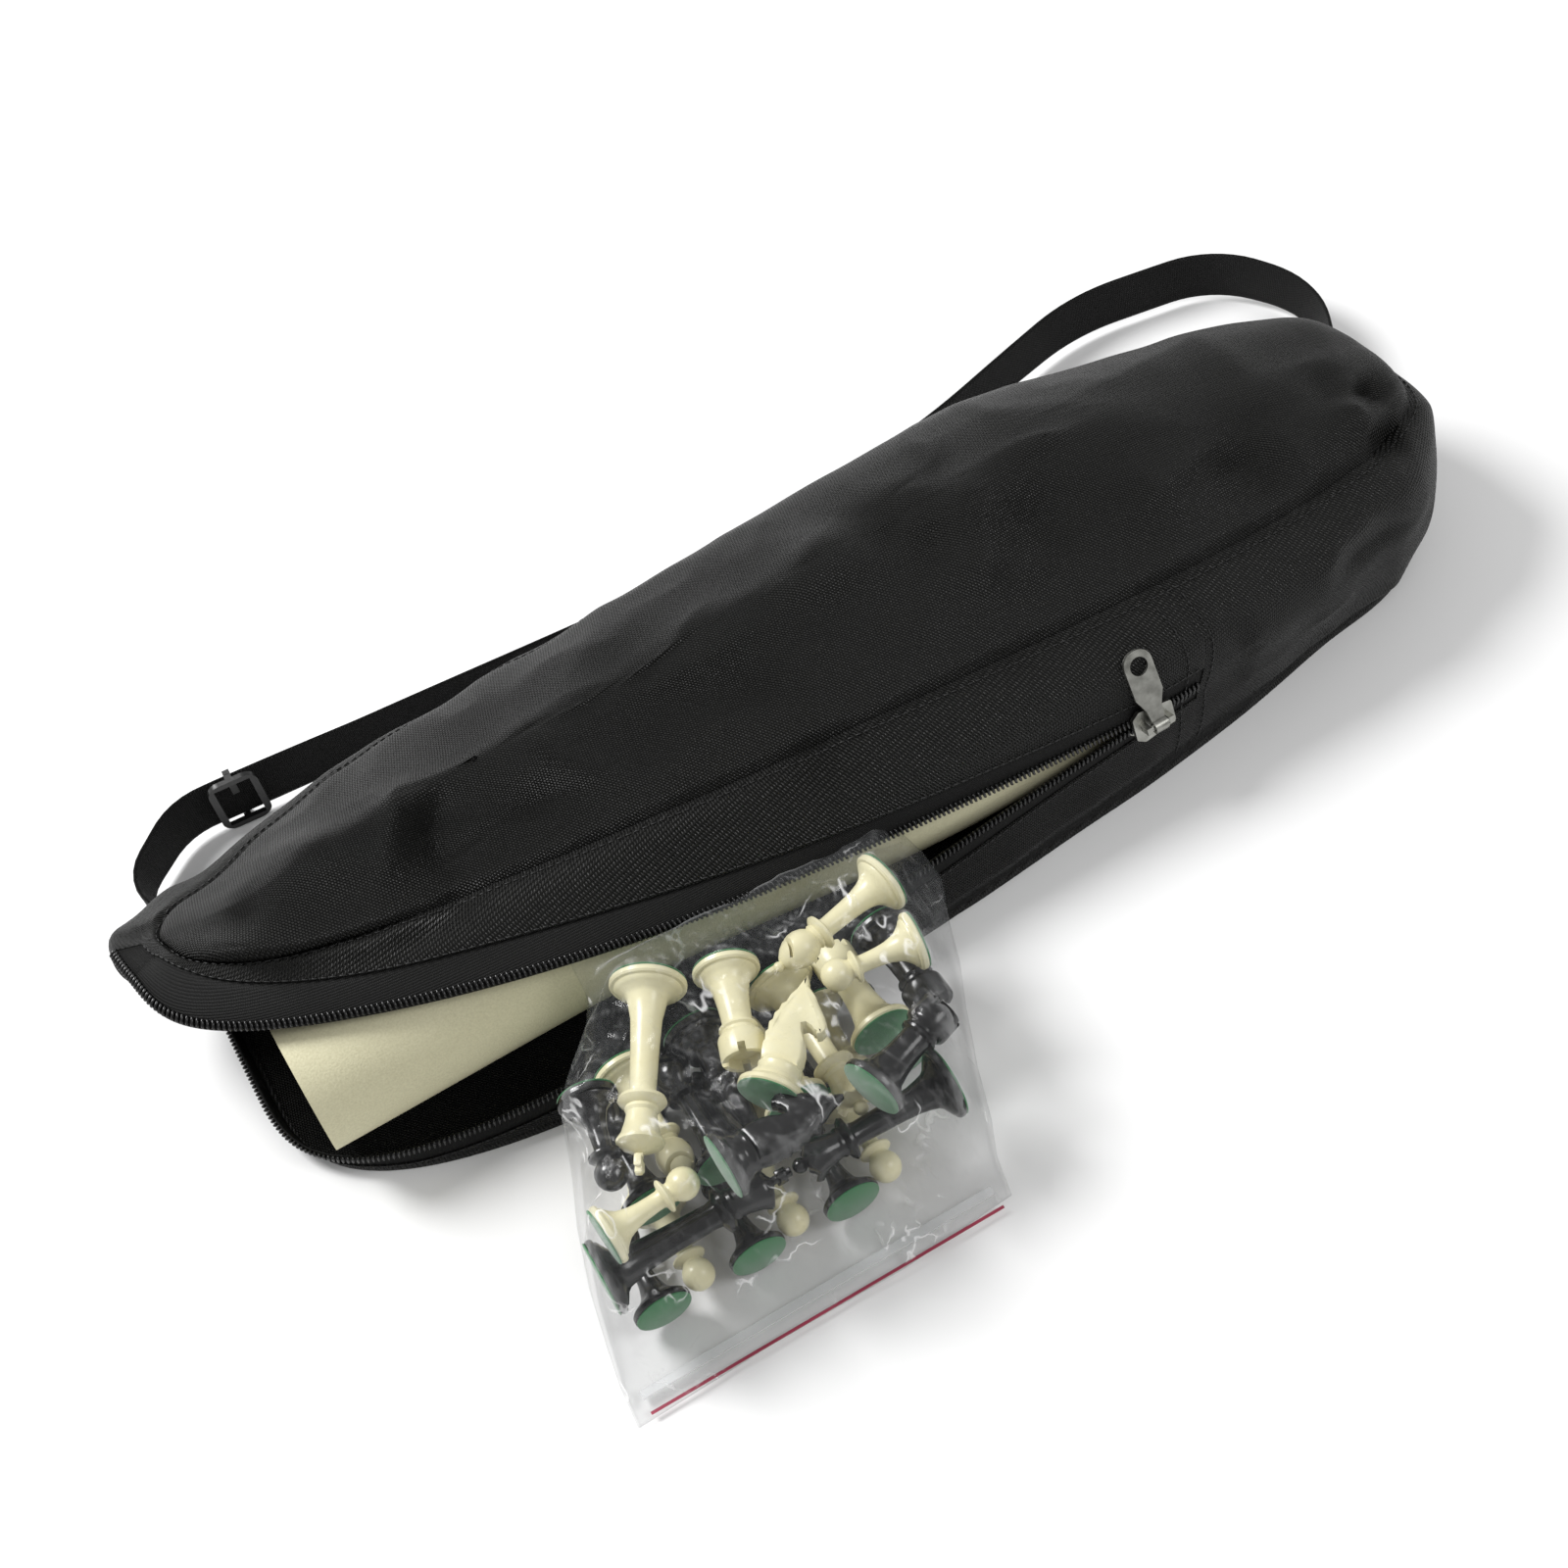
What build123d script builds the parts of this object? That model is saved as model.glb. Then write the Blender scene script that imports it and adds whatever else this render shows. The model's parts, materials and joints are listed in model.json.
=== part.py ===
"""Travel chess set: a soft pouch with a two-sided zip, a rolled board, a clear bag of men and a strap.

Millimetres. X runs along the pouch, -Y is the side with the zip, Z is up.
The origin is the centre of the pouch's underside, which rests on z = 0.
"""
import math
import os

from build123d import *

os.makedirs("parts", exist_ok=True)

# Pouch: overall sizes and fabric
pouch_length = 496.0
pouch_depth = 152.0
pouch_height = 88.0
fabric = 1.5
bottom_seam_z = 2.5
seam_gap = 0.2
top_seam_drop = 20.0
top_seam_mid_z = pouch_height - top_seam_drop
top_seam_slope = -0.03

# Zip: the slider stands here, and the two coils part towards the left end
slider_x = 102.0
slider_z = 35.0
zip_end_x = 118.0
upper_coil_end_z = top_seam_mid_z - 1.3
lower_coil_end_z = 7.35
upper_coil_rise = (upper_coil_end_z - slider_z) / (slider_x + pouch_length / 2)
lower_coil_drop = (slider_z - lower_coil_end_z) / (slider_x + pouch_length / 2)
zip_back_y = 42.0
tape_show = 4.5
coil_width = 2.6
coil_proud = 0.8

# Rolled board
roll_end_clear = 33.0
board_side = pouch_length - 2 * roll_end_clear
board_thickness = 1.4
roll_radius = 25.0
roll_front_clear = 26.0
roll_y = -pouch_depth / 2 + roll_front_clear + roll_radius
roll_left_x = -board_side / 2
roll_right_step_back = 10.0
roll_rest_z = 1.25
roll_lift_left = 7.55

# Strap
webbing_width = 20.0
webbing_thickness = 1.4


def ease(t):
    """Smooth step from 0 to 1."""
    t = min(max(t, 0.0), 1.0)
    return t * t * (3 - 2 * t)


def signed_power(value, power):
    return math.copysign(abs(value) ** power, value)


# Plan outline of the pouch at some heights, as shares of its height, length and depth:
# height, left end, right end, front, back, squareness of the front corners, the back left, the back right.
plan_levels = (
    (0.000, -0.456, 0.472, -0.487, 0.434, 3.2, 6.0, 4.0),
    (0.290, -0.482, 0.496, -0.428, 0.487, 3.2, 6.0, 4.0),
    (0.570, -0.499, 0.500, -0.362, 0.513, 3.4, 6.0, 4.0),
    (0.740, -0.496, 0.488, -0.215, 0.500, 3.4, 5.0, 3.6),
    (0.830, -0.470, 0.455, -0.118, 0.461, 3.2, 4.0, 3.2),
    (0.920, -0.410, 0.385, 0.000, 0.368, 2.8, 3.0, 2.8),
    (1.000, -0.280, 0.240, 0.118, 0.237, 2.0, 2.0, 2.0),
)
outline_stops = (-30, 0, 30, 50, 65, 90, 115, 130, 150, 180, 210, 230, 245, 270, 295, 310, 330)


def pouch_solid(inset):
    """The pouch's form, moved inwards all round by inset."""
    with BuildPart() as form:
        for share, left, right, front, back, square_front, square_left, square_right in plan_levels:
            top_drop = inset * ease((share - 0.4) / 0.5)
            base_rise = inset if share == 0 else 0.0
            x_mid = (left + right) / 2 * pouch_length
            y_mid = (front + back) / 2 * pouch_depth
            x_half = (right - left) / 2 * pouch_length - inset
            y_half = (back - front) / 2 * pouch_depth - inset
            outline = []
            for stop in outline_stops:
                angle = math.radians(stop)
                behind = 0 < stop < 180
                squareness = square_front
                if behind:
                    squareness = square_right if stop < 90 else square_left
                x = x_mid + x_half * signed_power(math.cos(angle), 2 / squareness)
                y = y_mid + y_half * signed_power(math.sin(angle), 2 / squareness)
                outline.append((x, y))
            with BuildSketch(Plane.XY.offset(share * pouch_height + base_rise - top_drop)):
                with BuildLine():
                    for first in range(0, len(outline) - 1, 2):
                        ThreePointArc(*outline[first:first + 3])
                make_face()
        loft(ruled=True)
    return form.part


def label_and_write(piece, name):
    piece.label = name
    export_step(piece, "parts/" + name + ".step")
    print(name, "solids", len(piece.solids()), "volume", round(piece.volume, 1))


def side_prism(outline, y_low, y_high):
    """A bar along Y whose section is an outline of (x, z) points."""
    with BuildPart() as bar:
        with BuildSketch(Plane.XZ.offset(-y_low)):
            with BuildLine():
                Polyline(*outline, close=True)
            make_face()
        extrude(amount=y_low - y_high)
    return bar.part


def upper_edge(x):
    """Height of the mouth's upper edge."""
    return slider_z + upper_coil_rise * max(slider_x - x, 0)


def lower_edge(x):
    """Height of the mouth's lower edge."""
    return slider_z - lower_coil_drop * max(slider_x - x, 0)


def strip_above(start, stop, x_end):
    """Outline of a strip between two heights above the upper edge."""
    return (
        (x_end, slider_z + start),
        (slider_x, slider_z + start),
        (-pouch_length, upper_edge(-pouch_length) + start),
        (-pouch_length, upper_edge(-pouch_length) + stop),
        (slider_x, slider_z + stop),
        (x_end, slider_z + stop),
    )


def strip_below(start, stop, x_end):
    """Outline of a strip between two depths below the lower edge."""
    return (
        (x_end, slider_z - start),
        (slider_x, slider_z - start),
        (-pouch_length, lower_edge(-pouch_length) - start),
        (-pouch_length, lower_edge(-pouch_length) - stop),
        (slider_x, slider_z - stop),
        (x_end, slider_z - stop),
    )


# Pouch: the shell is cut into its sewn panels, with a hair of seam between them.
outer_form = pouch_solid(0)
inner_form = pouch_solid(fabric)
half_seam = seam_gap / 2
side = 2 * pouch_depth
top_seam = Plane(origin=(0, 0, top_seam_mid_z), x_dir=(1, 0, top_seam_slope), z_dir=(-top_seam_slope, 0, 1))

with BuildPart() as top_panel:
    add(outer_form)
    add(inner_form, mode=Mode.SUBTRACT)
    split(bisect_by=top_seam.offset(half_seam), keep=Keep.TOP)
label_and_write(top_panel.part, "top_panel")

with BuildPart() as bottom_panel:
    add(outer_form)
    add(inner_form, mode=Mode.SUBTRACT)
    split(bisect_by=Plane.XY.offset(bottom_seam_z - half_seam), keep=Keep.BOTTOM)
label_and_write(bottom_panel.part, "bottom_panel")

with BuildPart() as wall_ring:
    add(outer_form)
    add(inner_form, mode=Mode.SUBTRACT)
    split(bisect_by=top_seam.offset(-half_seam), keep=Keep.BOTTOM)
    split(bisect_by=Plane.XY.offset(bottom_seam_z + half_seam), keep=Keep.TOP)

back_split = Plane(origin=(0, zip_back_y, 0), x_dir=(1, 0, 0), z_dir=(0, 1, 0))
end_split = Plane(origin=(zip_end_x, 0, 0), x_dir=(0, 1, 0), z_dir=(1, 0, 0))

with BuildPart() as gusset_back:
    add(wall_ring.part)
    split(bisect_by=back_split.offset(half_seam), keep=Keep.TOP)
label_and_write(gusset_back.part, "gusset_back")

with BuildPart() as gusset_front:
    add(wall_ring.part)
    split(bisect_by=back_split.offset(-half_seam), keep=Keep.BOTTOM)
    split(bisect_by=end_split.offset(half_seam), keep=Keep.TOP)
label_and_write(gusset_front.part, "gusset_front")

with BuildPart() as zip_wall:
    add(wall_ring.part)
    split(bisect_by=back_split.offset(-half_seam), keep=Keep.BOTTOM)
    split(bisect_by=end_split.offset(-half_seam), keep=Keep.BOTTOM)

tape_start = coil_width + half_seam
tape_stop = coil_width + tape_show
band_start = tape_stop + half_seam
past_end_x = zip_end_x + half_seam

with BuildPart() as zip_band_upper:
    add(zip_wall.part)
    add(side_prism(strip_above(band_start, pouch_height, past_end_x), -side, side), mode=Mode.INTERSECT)
label_and_write(zip_band_upper.part, "zip_band_upper")

with BuildPart() as lower_wall:
    add(zip_wall.part)
    add(side_prism(strip_below(band_start, pouch_height, past_end_x), -side, side), mode=Mode.INTERSECT)
with BuildPart() as zip_band_lower:
    add(lower_wall.part.solids().sort_by(SortBy.VOLUME)[-1])
label_and_write(zip_band_lower.part, "zip_band_lower")

with BuildPart() as zip_tape_upper:
    add(zip_wall.part)
    add(side_prism(strip_above(tape_start, tape_stop, past_end_x), -side, side), mode=Mode.INTERSECT)
label_and_write(zip_tape_upper.part, "zip_tape_upper")

with BuildPart() as zip_tape_lower:
    add(zip_wall.part)
    add(side_prism(strip_below(tape_start, tape_stop, past_end_x), -side, side), mode=Mode.INTERSECT)
label_and_write(zip_tape_lower.part, "zip_tape_lower")

coil_outside = pouch_solid(-coil_proud)
with BuildPart() as coil_ring:
    add(coil_outside)
    add(inner_form, mode=Mode.SUBTRACT)
    split(bisect_by=back_split.offset(-half_seam), keep=Keep.BOTTOM)
    split(bisect_by=end_split.offset(-half_seam), keep=Keep.BOTTOM)

with BuildPart() as zip_coil_upper:
    add(coil_ring.part)
    add(side_prism(strip_above(half_seam, coil_width, past_end_x), -side, side), mode=Mode.INTERSECT)
label_and_write(zip_coil_upper.part, "zip_coil_upper")

with BuildPart() as zip_coil_lower:
    add(coil_ring.part)
    add(side_prism(strip_below(half_seam, coil_width, past_end_x), -side, side), mode=Mode.INTERSECT)
label_and_write(zip_coil_lower.part, "zip_coil_lower")


def front_surface_y(x, z):
    """Where the pouch's front lies at this place."""
    with BuildPart() as probe:
        with Locations((x, -pouch_depth / 2, z)):
            Box(0.2, pouch_depth, 0.2)
        add(outer_form, mode=Mode.INTERSECT)
    return probe.part.bounding_box().min.Y


# Zip slider: two plates joined by a thin post between the coils, with a bridge for the pull.
slider_length = 16.0
slider_nose_width = 12.5
slider_tail_width = 9.0
plate_thickness = 1.6
plate_clear = 0.4
post_width = 1.2
bridge_bar_radius = 1.1
bridge_bar_height = 6.0
bridge_span = 9.0
bridge_leg = 2.0

slider_y = front_surface_y(slider_x - 8, slider_z)
travel_y = front_surface_y(slider_x - 88, slider_z)
slope_y = front_surface_y(slider_x - 8, slider_z + 8) - front_surface_y(slider_x - 8, slider_z - 8)
zip_along = Vector(80, slider_y - travel_y, 0).normalized()
wall_up = Vector(0, slope_y, 16).normalized()
wall_out = zip_along.cross(wall_up).normalized()
slider_plane = Plane(origin=(slider_x - 8, slider_y, slider_z), x_dir=zip_along, z_dir=wall_out)
print("slider origin", slider_plane.origin, "along", zip_along, "out", wall_out)

with BuildPart() as zip_slider_body:
    for plate_base in (coil_proud + plate_clear, -fabric - plate_clear - plate_thickness):
        with BuildSketch(slider_plane.offset(plate_base)) as plate_outline:
            with BuildLine():
                Polyline(
                    (-slider_length / 2, -slider_nose_width / 2 + 2),
                    (-slider_length / 2 + 3, -slider_nose_width / 2),
                    (slider_length / 2, -slider_tail_width / 2),
                    (slider_length / 2, slider_tail_width / 2),
                    (-slider_length / 2 + 3, slider_nose_width / 2),
                    (-slider_length / 2, slider_nose_width / 2 - 2),
                    close=True,
                )
            make_face()
            fillet(plate_outline.vertices(), 1.2)
        extrude(amount=plate_thickness)
    plates_apart = coil_proud + fabric + 2 * plate_clear + 0.2
    with BuildSketch(slider_plane.offset(-fabric - plate_clear - 0.1)):
        with Locations((-slider_length / 2 + 2.5, 0)):
            Rectangle(3, post_width)
    extrude(amount=plates_apart)
    leg_foot = coil_proud + plate_clear + plate_thickness - 0.2
    with BuildSketch(slider_plane.offset(leg_foot)):
        with Locations((-bridge_span / 2, 0), (bridge_span / 2, 0)):
            Rectangle(bridge_leg, 2.6)
    extrude(amount=bridge_bar_height + bridge_bar_radius - leg_foot)
    bar_plane = Plane(
        origin=slider_plane.from_local_coords((-bridge_span / 2, 0, bridge_bar_height)),
        x_dir=wall_out,
        z_dir=zip_along,
    )
    with BuildSketch(bar_plane):
        Circle(bridge_bar_radius)
    extrude(amount=bridge_span)
label_and_write(zip_slider_body.part, "zip_slider_body")

# Pull: a rolled eye on the bridge's bar, and a flat tab with a large round hole.
pull_length = 29.0
pull_width = 11.0
pull_thickness = 1.4
pull_neck_width = 5.0
pull_hole_radius = 3.4
eye_clearance = 0.3
eye_wall = 1.0
pull_lean = 12.0

eye_inner = bridge_bar_radius + eye_clearance
eye_outer = eye_inner + eye_wall
pull_origin = slider_plane.from_local_coords((0, 0, bridge_bar_height))
pull_up = slider_plane.y_dir.rotate(Axis((0, 0, 0), zip_along), -pull_lean)
pull_plane = Plane(origin=pull_origin, x_dir=zip_along, z_dir=zip_along.cross(pull_up))
eye_plane = Plane(origin=pull_plane.from_local_coords((-pull_neck_width / 2, 0, 0)), x_dir=pull_up, z_dir=zip_along)
with BuildPart() as zip_pull_tab:
    with BuildSketch(pull_plane.offset(-pull_thickness / 2)) as tab_outline:
        with BuildLine():
            Polyline(
                (-pull_neck_width / 2, eye_inner + 0.2),
                (pull_neck_width / 2, eye_inner + 0.2),
                (pull_neck_width / 2 + 0.6, 7),
                (pull_width / 2, 12),
                (pull_width / 2, pull_length),
                (-pull_width / 2, pull_length),
                (-pull_width / 2, 12),
                (-pull_neck_width / 2 - 0.6, 7),
                close=True,
            )
        make_face()
        fillet(tab_outline.vertices().sort_by(Axis.Y)[-2:], pull_width / 2 - 0.3)
        with Locations((0, pull_length - pull_width / 2 - 0.4)):
            Circle(pull_hole_radius, mode=Mode.SUBTRACT)
    extrude(amount=pull_thickness)
    with BuildSketch(eye_plane):
        Circle(eye_outer)
    extrude(amount=pull_neck_width)
    with BuildSketch(eye_plane.offset(-0.1)):
        Circle(eye_inner)
    extrude(amount=pull_neck_width + 0.2, mode=Mode.SUBTRACT)
label_and_write(zip_pull_tab.part, "zip_pull_tab")
print("pull axis at", pull_origin, "along", zip_along)

# Rolled board: a spiral of half turns, tilted so that its left end clears the mouth's lower edge.
roll_gap = 0.5
roll_pitch = board_thickness + roll_gap
roll_right_y = roll_y + roll_right_step_back
roll_from = Vector(roll_left_x, roll_y, roll_lift_left + roll_radius)
roll_to = Vector(roll_left_x + board_side, roll_right_y, roll_rest_z + roll_radius)
roll_along = (roll_to - roll_from).normalized()
roll_plane = Plane(origin=roll_from, x_dir=(0, 1, 0), z_dir=roll_along)
print("roll along", roll_along)
with BuildPart() as board_roll:
    with BuildSketch(roll_plane):
        with BuildLine():
            rolled = 0.0
            half_turn = 0
            outer_ends = []
            inner_ends = []
            while rolled < board_side - 1:
                radius = roll_radius - half_turn * roll_pitch / 2
                centre = (0 if half_turn % 2 == 0 else -roll_pitch / 2, 0)
                start = 180 * (half_turn % 2)
                mid_radius = radius - board_thickness / 2
                turn = min(180, math.degrees((board_side - rolled) / mid_radius))
                outer_arc = CenterArc(centre, radius, start, turn)
                inner_arc = CenterArc(centre, radius - board_thickness, start, turn)
                outer_ends.append(outer_arc)
                inner_ends.append(inner_arc)
                rolled += math.radians(turn) * mid_radius
                half_turn += 1
            Line(outer_ends[0] @ 0, inner_ends[0] @ 0)
            Line(outer_ends[-1] @ 1, inner_ends[-1] @ 1)
        make_face()
    extrude(amount=board_side)
print("board flat length", round(rolled, 1), "half turns", half_turn)
label_and_write(board_roll.part, "board_roll")


# Strap: webbing standing on its edge behind the pouch, hung from a short tab at each end.
strap_floor = 3.0
end_x = pouch_length / 2
behind_y = pouch_depth / 2
strap_route = (
    (-end_x + 16, behind_y - 6),
    (-end_x + 10, behind_y + 16),
    (-end_x + 36, behind_y + 36),
    (-end_x + 108, behind_y + 31),
    (0, behind_y + 27),
    (end_x - 138, behind_y + 38),
    (end_x - 58, behind_y + 58),
    (end_x + 2, behind_y + 48),
    (end_x + 26, behind_y + 10),
    (end_x + 10, behind_y - 22),
)
strap_radii = (18, 26, 300, 400, 300, 90, 42, 36)
strap_mid_z = strap_floor + webbing_width / 2
with BuildPart() as strap_webbing:
    with BuildLine(Plane.XY.offset(strap_mid_z)) as route:
        FilletPolyline(*strap_route, radius=strap_radii)
    strap_wire = route.wire()
    with BuildSketch(Plane(origin=strap_wire @ 0, x_dir=(0, 0, 1), z_dir=strap_wire % 0)):
        Rectangle(webbing_width, webbing_thickness)
    sweep(path=strap_wire)
label_and_write(strap_webbing.part, "strap_webbing")
print("strap length", round(strap_wire.length, 1))

# Webbing tabs: each is sewn to the pouch's end and stops just short of the strap.
tab_clear = 0.3
tab_reach = 26.0
tab_thickness = 2 * webbing_thickness
tab_places = (
    ("strap_tab_left", strap_wire @ 0, strap_wire % 0),
    ("strap_tab_right", strap_wire @ 1, (strap_wire % 1) * -1),
)
around_pouch = pouch_solid(-0.2)
for name, strap_end, strap_way in tab_places:
    tab_middle = strap_end - strap_way * (tab_clear + tab_reach / 2)
    with BuildPart() as strap_tab:
        with BuildSketch(Plane(origin=(tab_middle.X, tab_middle.Y, strap_floor), x_dir=strap_way, z_dir=(0, 0, 1))):
            Rectangle(tab_reach, tab_thickness)
        extrude(amount=webbing_width)
        add(around_pouch, mode=Mode.SUBTRACT)
    with BuildPart() as kept_tab:
        add(strap_tab.part.solids().sort_by_distance(strap_end)[0])
    label_and_write(kept_tab.part, name)

# Adjuster: a three-bar slide. The webbing passes over the outer bars and under the raised middle one.
adjuster_length = 19.0
adjuster_height = webbing_width + 6
adjuster_bar = 2.6
adjuster_plate = 2.0
adjuster_clear = 0.35
straight_start = Vector(*strap_route[2])
straight_stop = Vector(*strap_route[3])
straight_along = (straight_stop - straight_start).normalized()
adjuster_centre = straight_start + straight_along * 22
adjuster_out = Vector(-straight_along.Y, straight_along.X, 0)
adjuster_plane = Plane(
    origin=(adjuster_centre.X, adjuster_centre.Y, strap_mid_z),
    x_dir=straight_along,
    z_dir=adjuster_out,
)
window_height = webbing_width + 1.2
bar_middle_lift = webbing_thickness + adjuster_plate + 2 * adjuster_clear
with BuildPart() as strap_adjuster:
    plate_base = -webbing_thickness / 2 - adjuster_clear - adjuster_plate
    with BuildSketch(adjuster_plane.offset(plate_base)) as frame_outline:
        Rectangle(adjuster_length, adjuster_height)
        fillet(frame_outline.vertices(), 5)
        Rectangle(adjuster_length - 2 * adjuster_bar, window_height, mode=Mode.SUBTRACT)
    extrude(amount=adjuster_plate)
    with BuildSketch(adjuster_plane.offset(plate_base)):
        with Locations((0, adjuster_height / 2 - 1.2), (0, -adjuster_height / 2 + 1.2)):
            Rectangle(adjuster_bar, 2.2)
    extrude(amount=adjuster_plate + bar_middle_lift)
    with BuildSketch(adjuster_plane.offset(plate_base + bar_middle_lift)):
        Rectangle(adjuster_bar, adjuster_height)
    extrude(amount=adjuster_plate)
label_and_write(strap_adjuster.part, "strap_adjuster")
print("adjuster along", straight_along, "strap axis from", strap_route[0], "to", strap_route[-1], "z", strap_mid_z)

# Men: the felt is the lowest 0.7 mm. Sizes are base radius and height.
felt = 0.7
pawn_base = 9.75
rook_base = 11.0
knight_base = 11.0
bishop_base = 10.75
queen_base = 12.0
king_base = 12.5
pawn_height = 34.0
rook_height = 35.0
knight_height = 43.0
bishop_height = 48.0
queen_height = 57.0
king_height = 67.0
pawn_head = 5.3
knight_thickness = 8.4
cross_width = 7.0

# A man's outline goes up from the base's edge: two numbers are a straight step to that radius and height,
# four are an arc through the first two to the last two.
outlines = {
    "pawn": (
        (pawn_base, felt), (pawn_base, 2.4), (pawn_base - 1.2, 3.2), (6.4, 5.4), (4.6, 7),
        (3.4, 12), (2.9, 21), (5.6, 22.6), (3.4, 24.4), (3.4, pawn_height - pawn_head - 4.066),
        (pawn_head, pawn_height - pawn_head, 0.6, pawn_height - 0.034),
    ),
    "rook": (
        (rook_base, felt), (rook_base, 2.6), (rook_base - 1.2, 3.6), (6.4, 7.5), (5.2, 13), (4.9, 22),
        (7.6, 26.5), (7.6, rook_height),
    ),
    "knight": (
        (knight_base, felt), (knight_base, 2.6), (knight_base - 1.2, 3.6), (6.6, 7), (6.8, 11),
    ),
    "bishop": (
        (bishop_base, felt), (bishop_base, 2.4), (bishop_base - 1.2, 3.4), (5.0, 8), (3.7, 15), (3.3, 27),
        (6.3, 29.2), (3.8, 31.5), (6.2, 37.6, 1.5, bishop_height - 3.2), (2.0, bishop_height - 1.6, 0.6, bishop_height),
    ),
    "queen": (
        (queen_base, felt), (queen_base, 2.8), (queen_base - 1.4, 3.8), (5.8, 9), (4.2, 18), (3.8, 36),
        (7.2, 38.5), (4.6, 41), (5.6, 46.5), (7.6, 51), (1.6, queen_height - 4.65), (2.6, queen_height - 2.6, 0.6, queen_height),
    ),
    "king": (
        (king_base, felt), (king_base, 3.0), (king_base - 1.4, 4.0), (6.2, 10), (4.7, 22), (4.2, 42),
        (7.8, 44.5), (4.8, 47), (5.6, 52), (7.6, 56.5), (2.2, king_height - 7),
    ),
}


def turned(kind):
    """A lathe-turned man, standing on the origin."""
    with BuildPart() as man:
        with BuildSketch(Plane.XZ):
            with BuildLine():
                here = (0, felt)
                for step in outlines[kind]:
                    if len(step) == 2:
                        Line(here, step)
                    else:
                        ThreePointArc(here, step[:2], step[2:])
                    here = step[-2:]
                if here[0] > 0:
                    Line(here, (0, here[1]))
                Line((0, here[1]), (0, felt))
            make_face()
        revolve(axis=Axis.Z)
    return man.part


with BuildPart() as pawn:
    add(turned("pawn"))

with BuildPart() as rook:
    add(turned("rook"))
    with Locations((0, 0, rook_height - 2)):
        Cylinder(5.2, 4.2, mode=Mode.SUBTRACT)
        Box(20, 2.6, 4.2, mode=Mode.SUBTRACT)
        Box(2.6, 20, 4.2, mode=Mode.SUBTRACT)

with BuildPart() as knight:
    with BuildSketch(Plane.XZ.offset(-knight_thickness / 2)):
        with BuildLine():
            Polyline((6.2, 10.5), (-6.2, 10.5))
            ThreePointArc((-6.2, 10.5), (-7.9, 20), (-6.0, 30))
            ThreePointArc((-6.0, 30), (-4.2, 35), (-1.6, knight_height))
            Polyline((-1.6, knight_height), (1.4, 38.5), (8.0, 30.8), (10.2, 26.4), (9.3, 23.2), (7.2, 22.8))
            ThreePointArc((7.2, 22.8), (4.6, 25.2), (2.0, 24.6))
            ThreePointArc((2.0, 24.6), (6.0, 17.6), (6.2, 10.5))
        make_face()
    extrude(amount=knight_thickness)
    with BuildSketch(Plane.YZ.offset(-12)):
        with BuildLine():
            Polyline((-4.2, 10), (4.2, 10), (4.2, 25), (2.2, 43.2), (-2.2, 43.2), (-4.2, 25), close=True)
        make_face()
    extrude(amount=24, mode=Mode.INTERSECT)
    with BuildSketch(Plane.XY.offset(10)):
        with BuildLine():
            Polyline(
                (-8.5, -2.4), (-3, -4.3), (3, -4.3), (10.5, -2.2), (10.5, 2.2), (3, 4.3), (-3, 4.3), (-8.5, 2.4), close=True
            )
        make_face()
    extrude(amount=34, mode=Mode.INTERSECT)
    add(turned("knight"))

with BuildPart() as bishop:
    add(turned("bishop"))
    with Locations(Location((5, 0, 40), (0, 35, 0))):
        Box(7, 12, 1.2, mode=Mode.SUBTRACT)

with BuildPart() as queen:
    add(turned("queen"))

with BuildPart() as king:
    add(turned("king"))
    with Locations((0, 0, king_height - 4)):
        Box(2.2, 2.2, 8)
    with Locations((0, 0, king_height - 3.2)):
        Box(cross_width, 2.2, 2.2)

men_kinds = {
    "pawn": (pawn.part, pawn_base, pawn_height),
    "rook": (rook.part, rook_base, rook_height),
    "knight": (knight.part, knight_base, knight_height),
    "bishop": (bishop.part, bishop_base, bishop_height),
    "queen": (queen.part, queen_base, queen_height),
    "king": (king.part, king_base, king_height),
}


def outline_samples(kind):
    """Radius and height at points up a man's outline."""
    samples = []
    here = (0, felt)
    for step in outlines[kind]:
        if len(step) == 2:
            samples.append(step)
        else:
            arc = ThreePointArc(here, step[:2], step[2:])
            samples.extend((place.X, place.Y) for place in (arc @ (part / 8) for part in range(1, 9)))
        here = step[-2:]
    if kind == "knight":
        samples.extend(((knight_thickness / 2, 11.2), (knight_thickness / 2, knight_height)))
    if kind == "king":
        samples.extend(((cross_width / 2, king_height - 7), (cross_width / 2, king_height)))
    return samples


samples_of = {kind: outline_samples(kind) for kind in men_kinds}


def radius_at(kind, height):
    samples = samples_of[kind]
    if height < 0 or height > samples[-1][1]:
        return 0.0
    for (low_radius, low), (high_radius, high) in zip(samples, samples[1:]):
        if low <= height <= high and high > low:
            return low_radius + (high_radius - low_radius) * (height - low) / (high - low)
    return samples[0][0]


def side_by_side(base_far, head_far):
    """How close two men lie when one has its base where the other has its head."""
    length = men_kinds[head_far][2]
    widths = [0.0]
    for quarter in range(int(4 * length)):
        first = radius_at(base_far, quarter / 4)
        second = radius_at(head_far, length - quarter / 4)
        if first and second:
            widths.append(first + second)
    return max(widths) + men_clear


def lying(x, y, z, heading):
    """A man's place when it lies on its side: the middle of its base, and where its head points."""
    turn = math.radians(heading)
    return Plane(origin=(x, y, z), x_dir=(0, 0, 1), z_dir=(math.cos(turn), math.sin(turn), 0))


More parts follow.
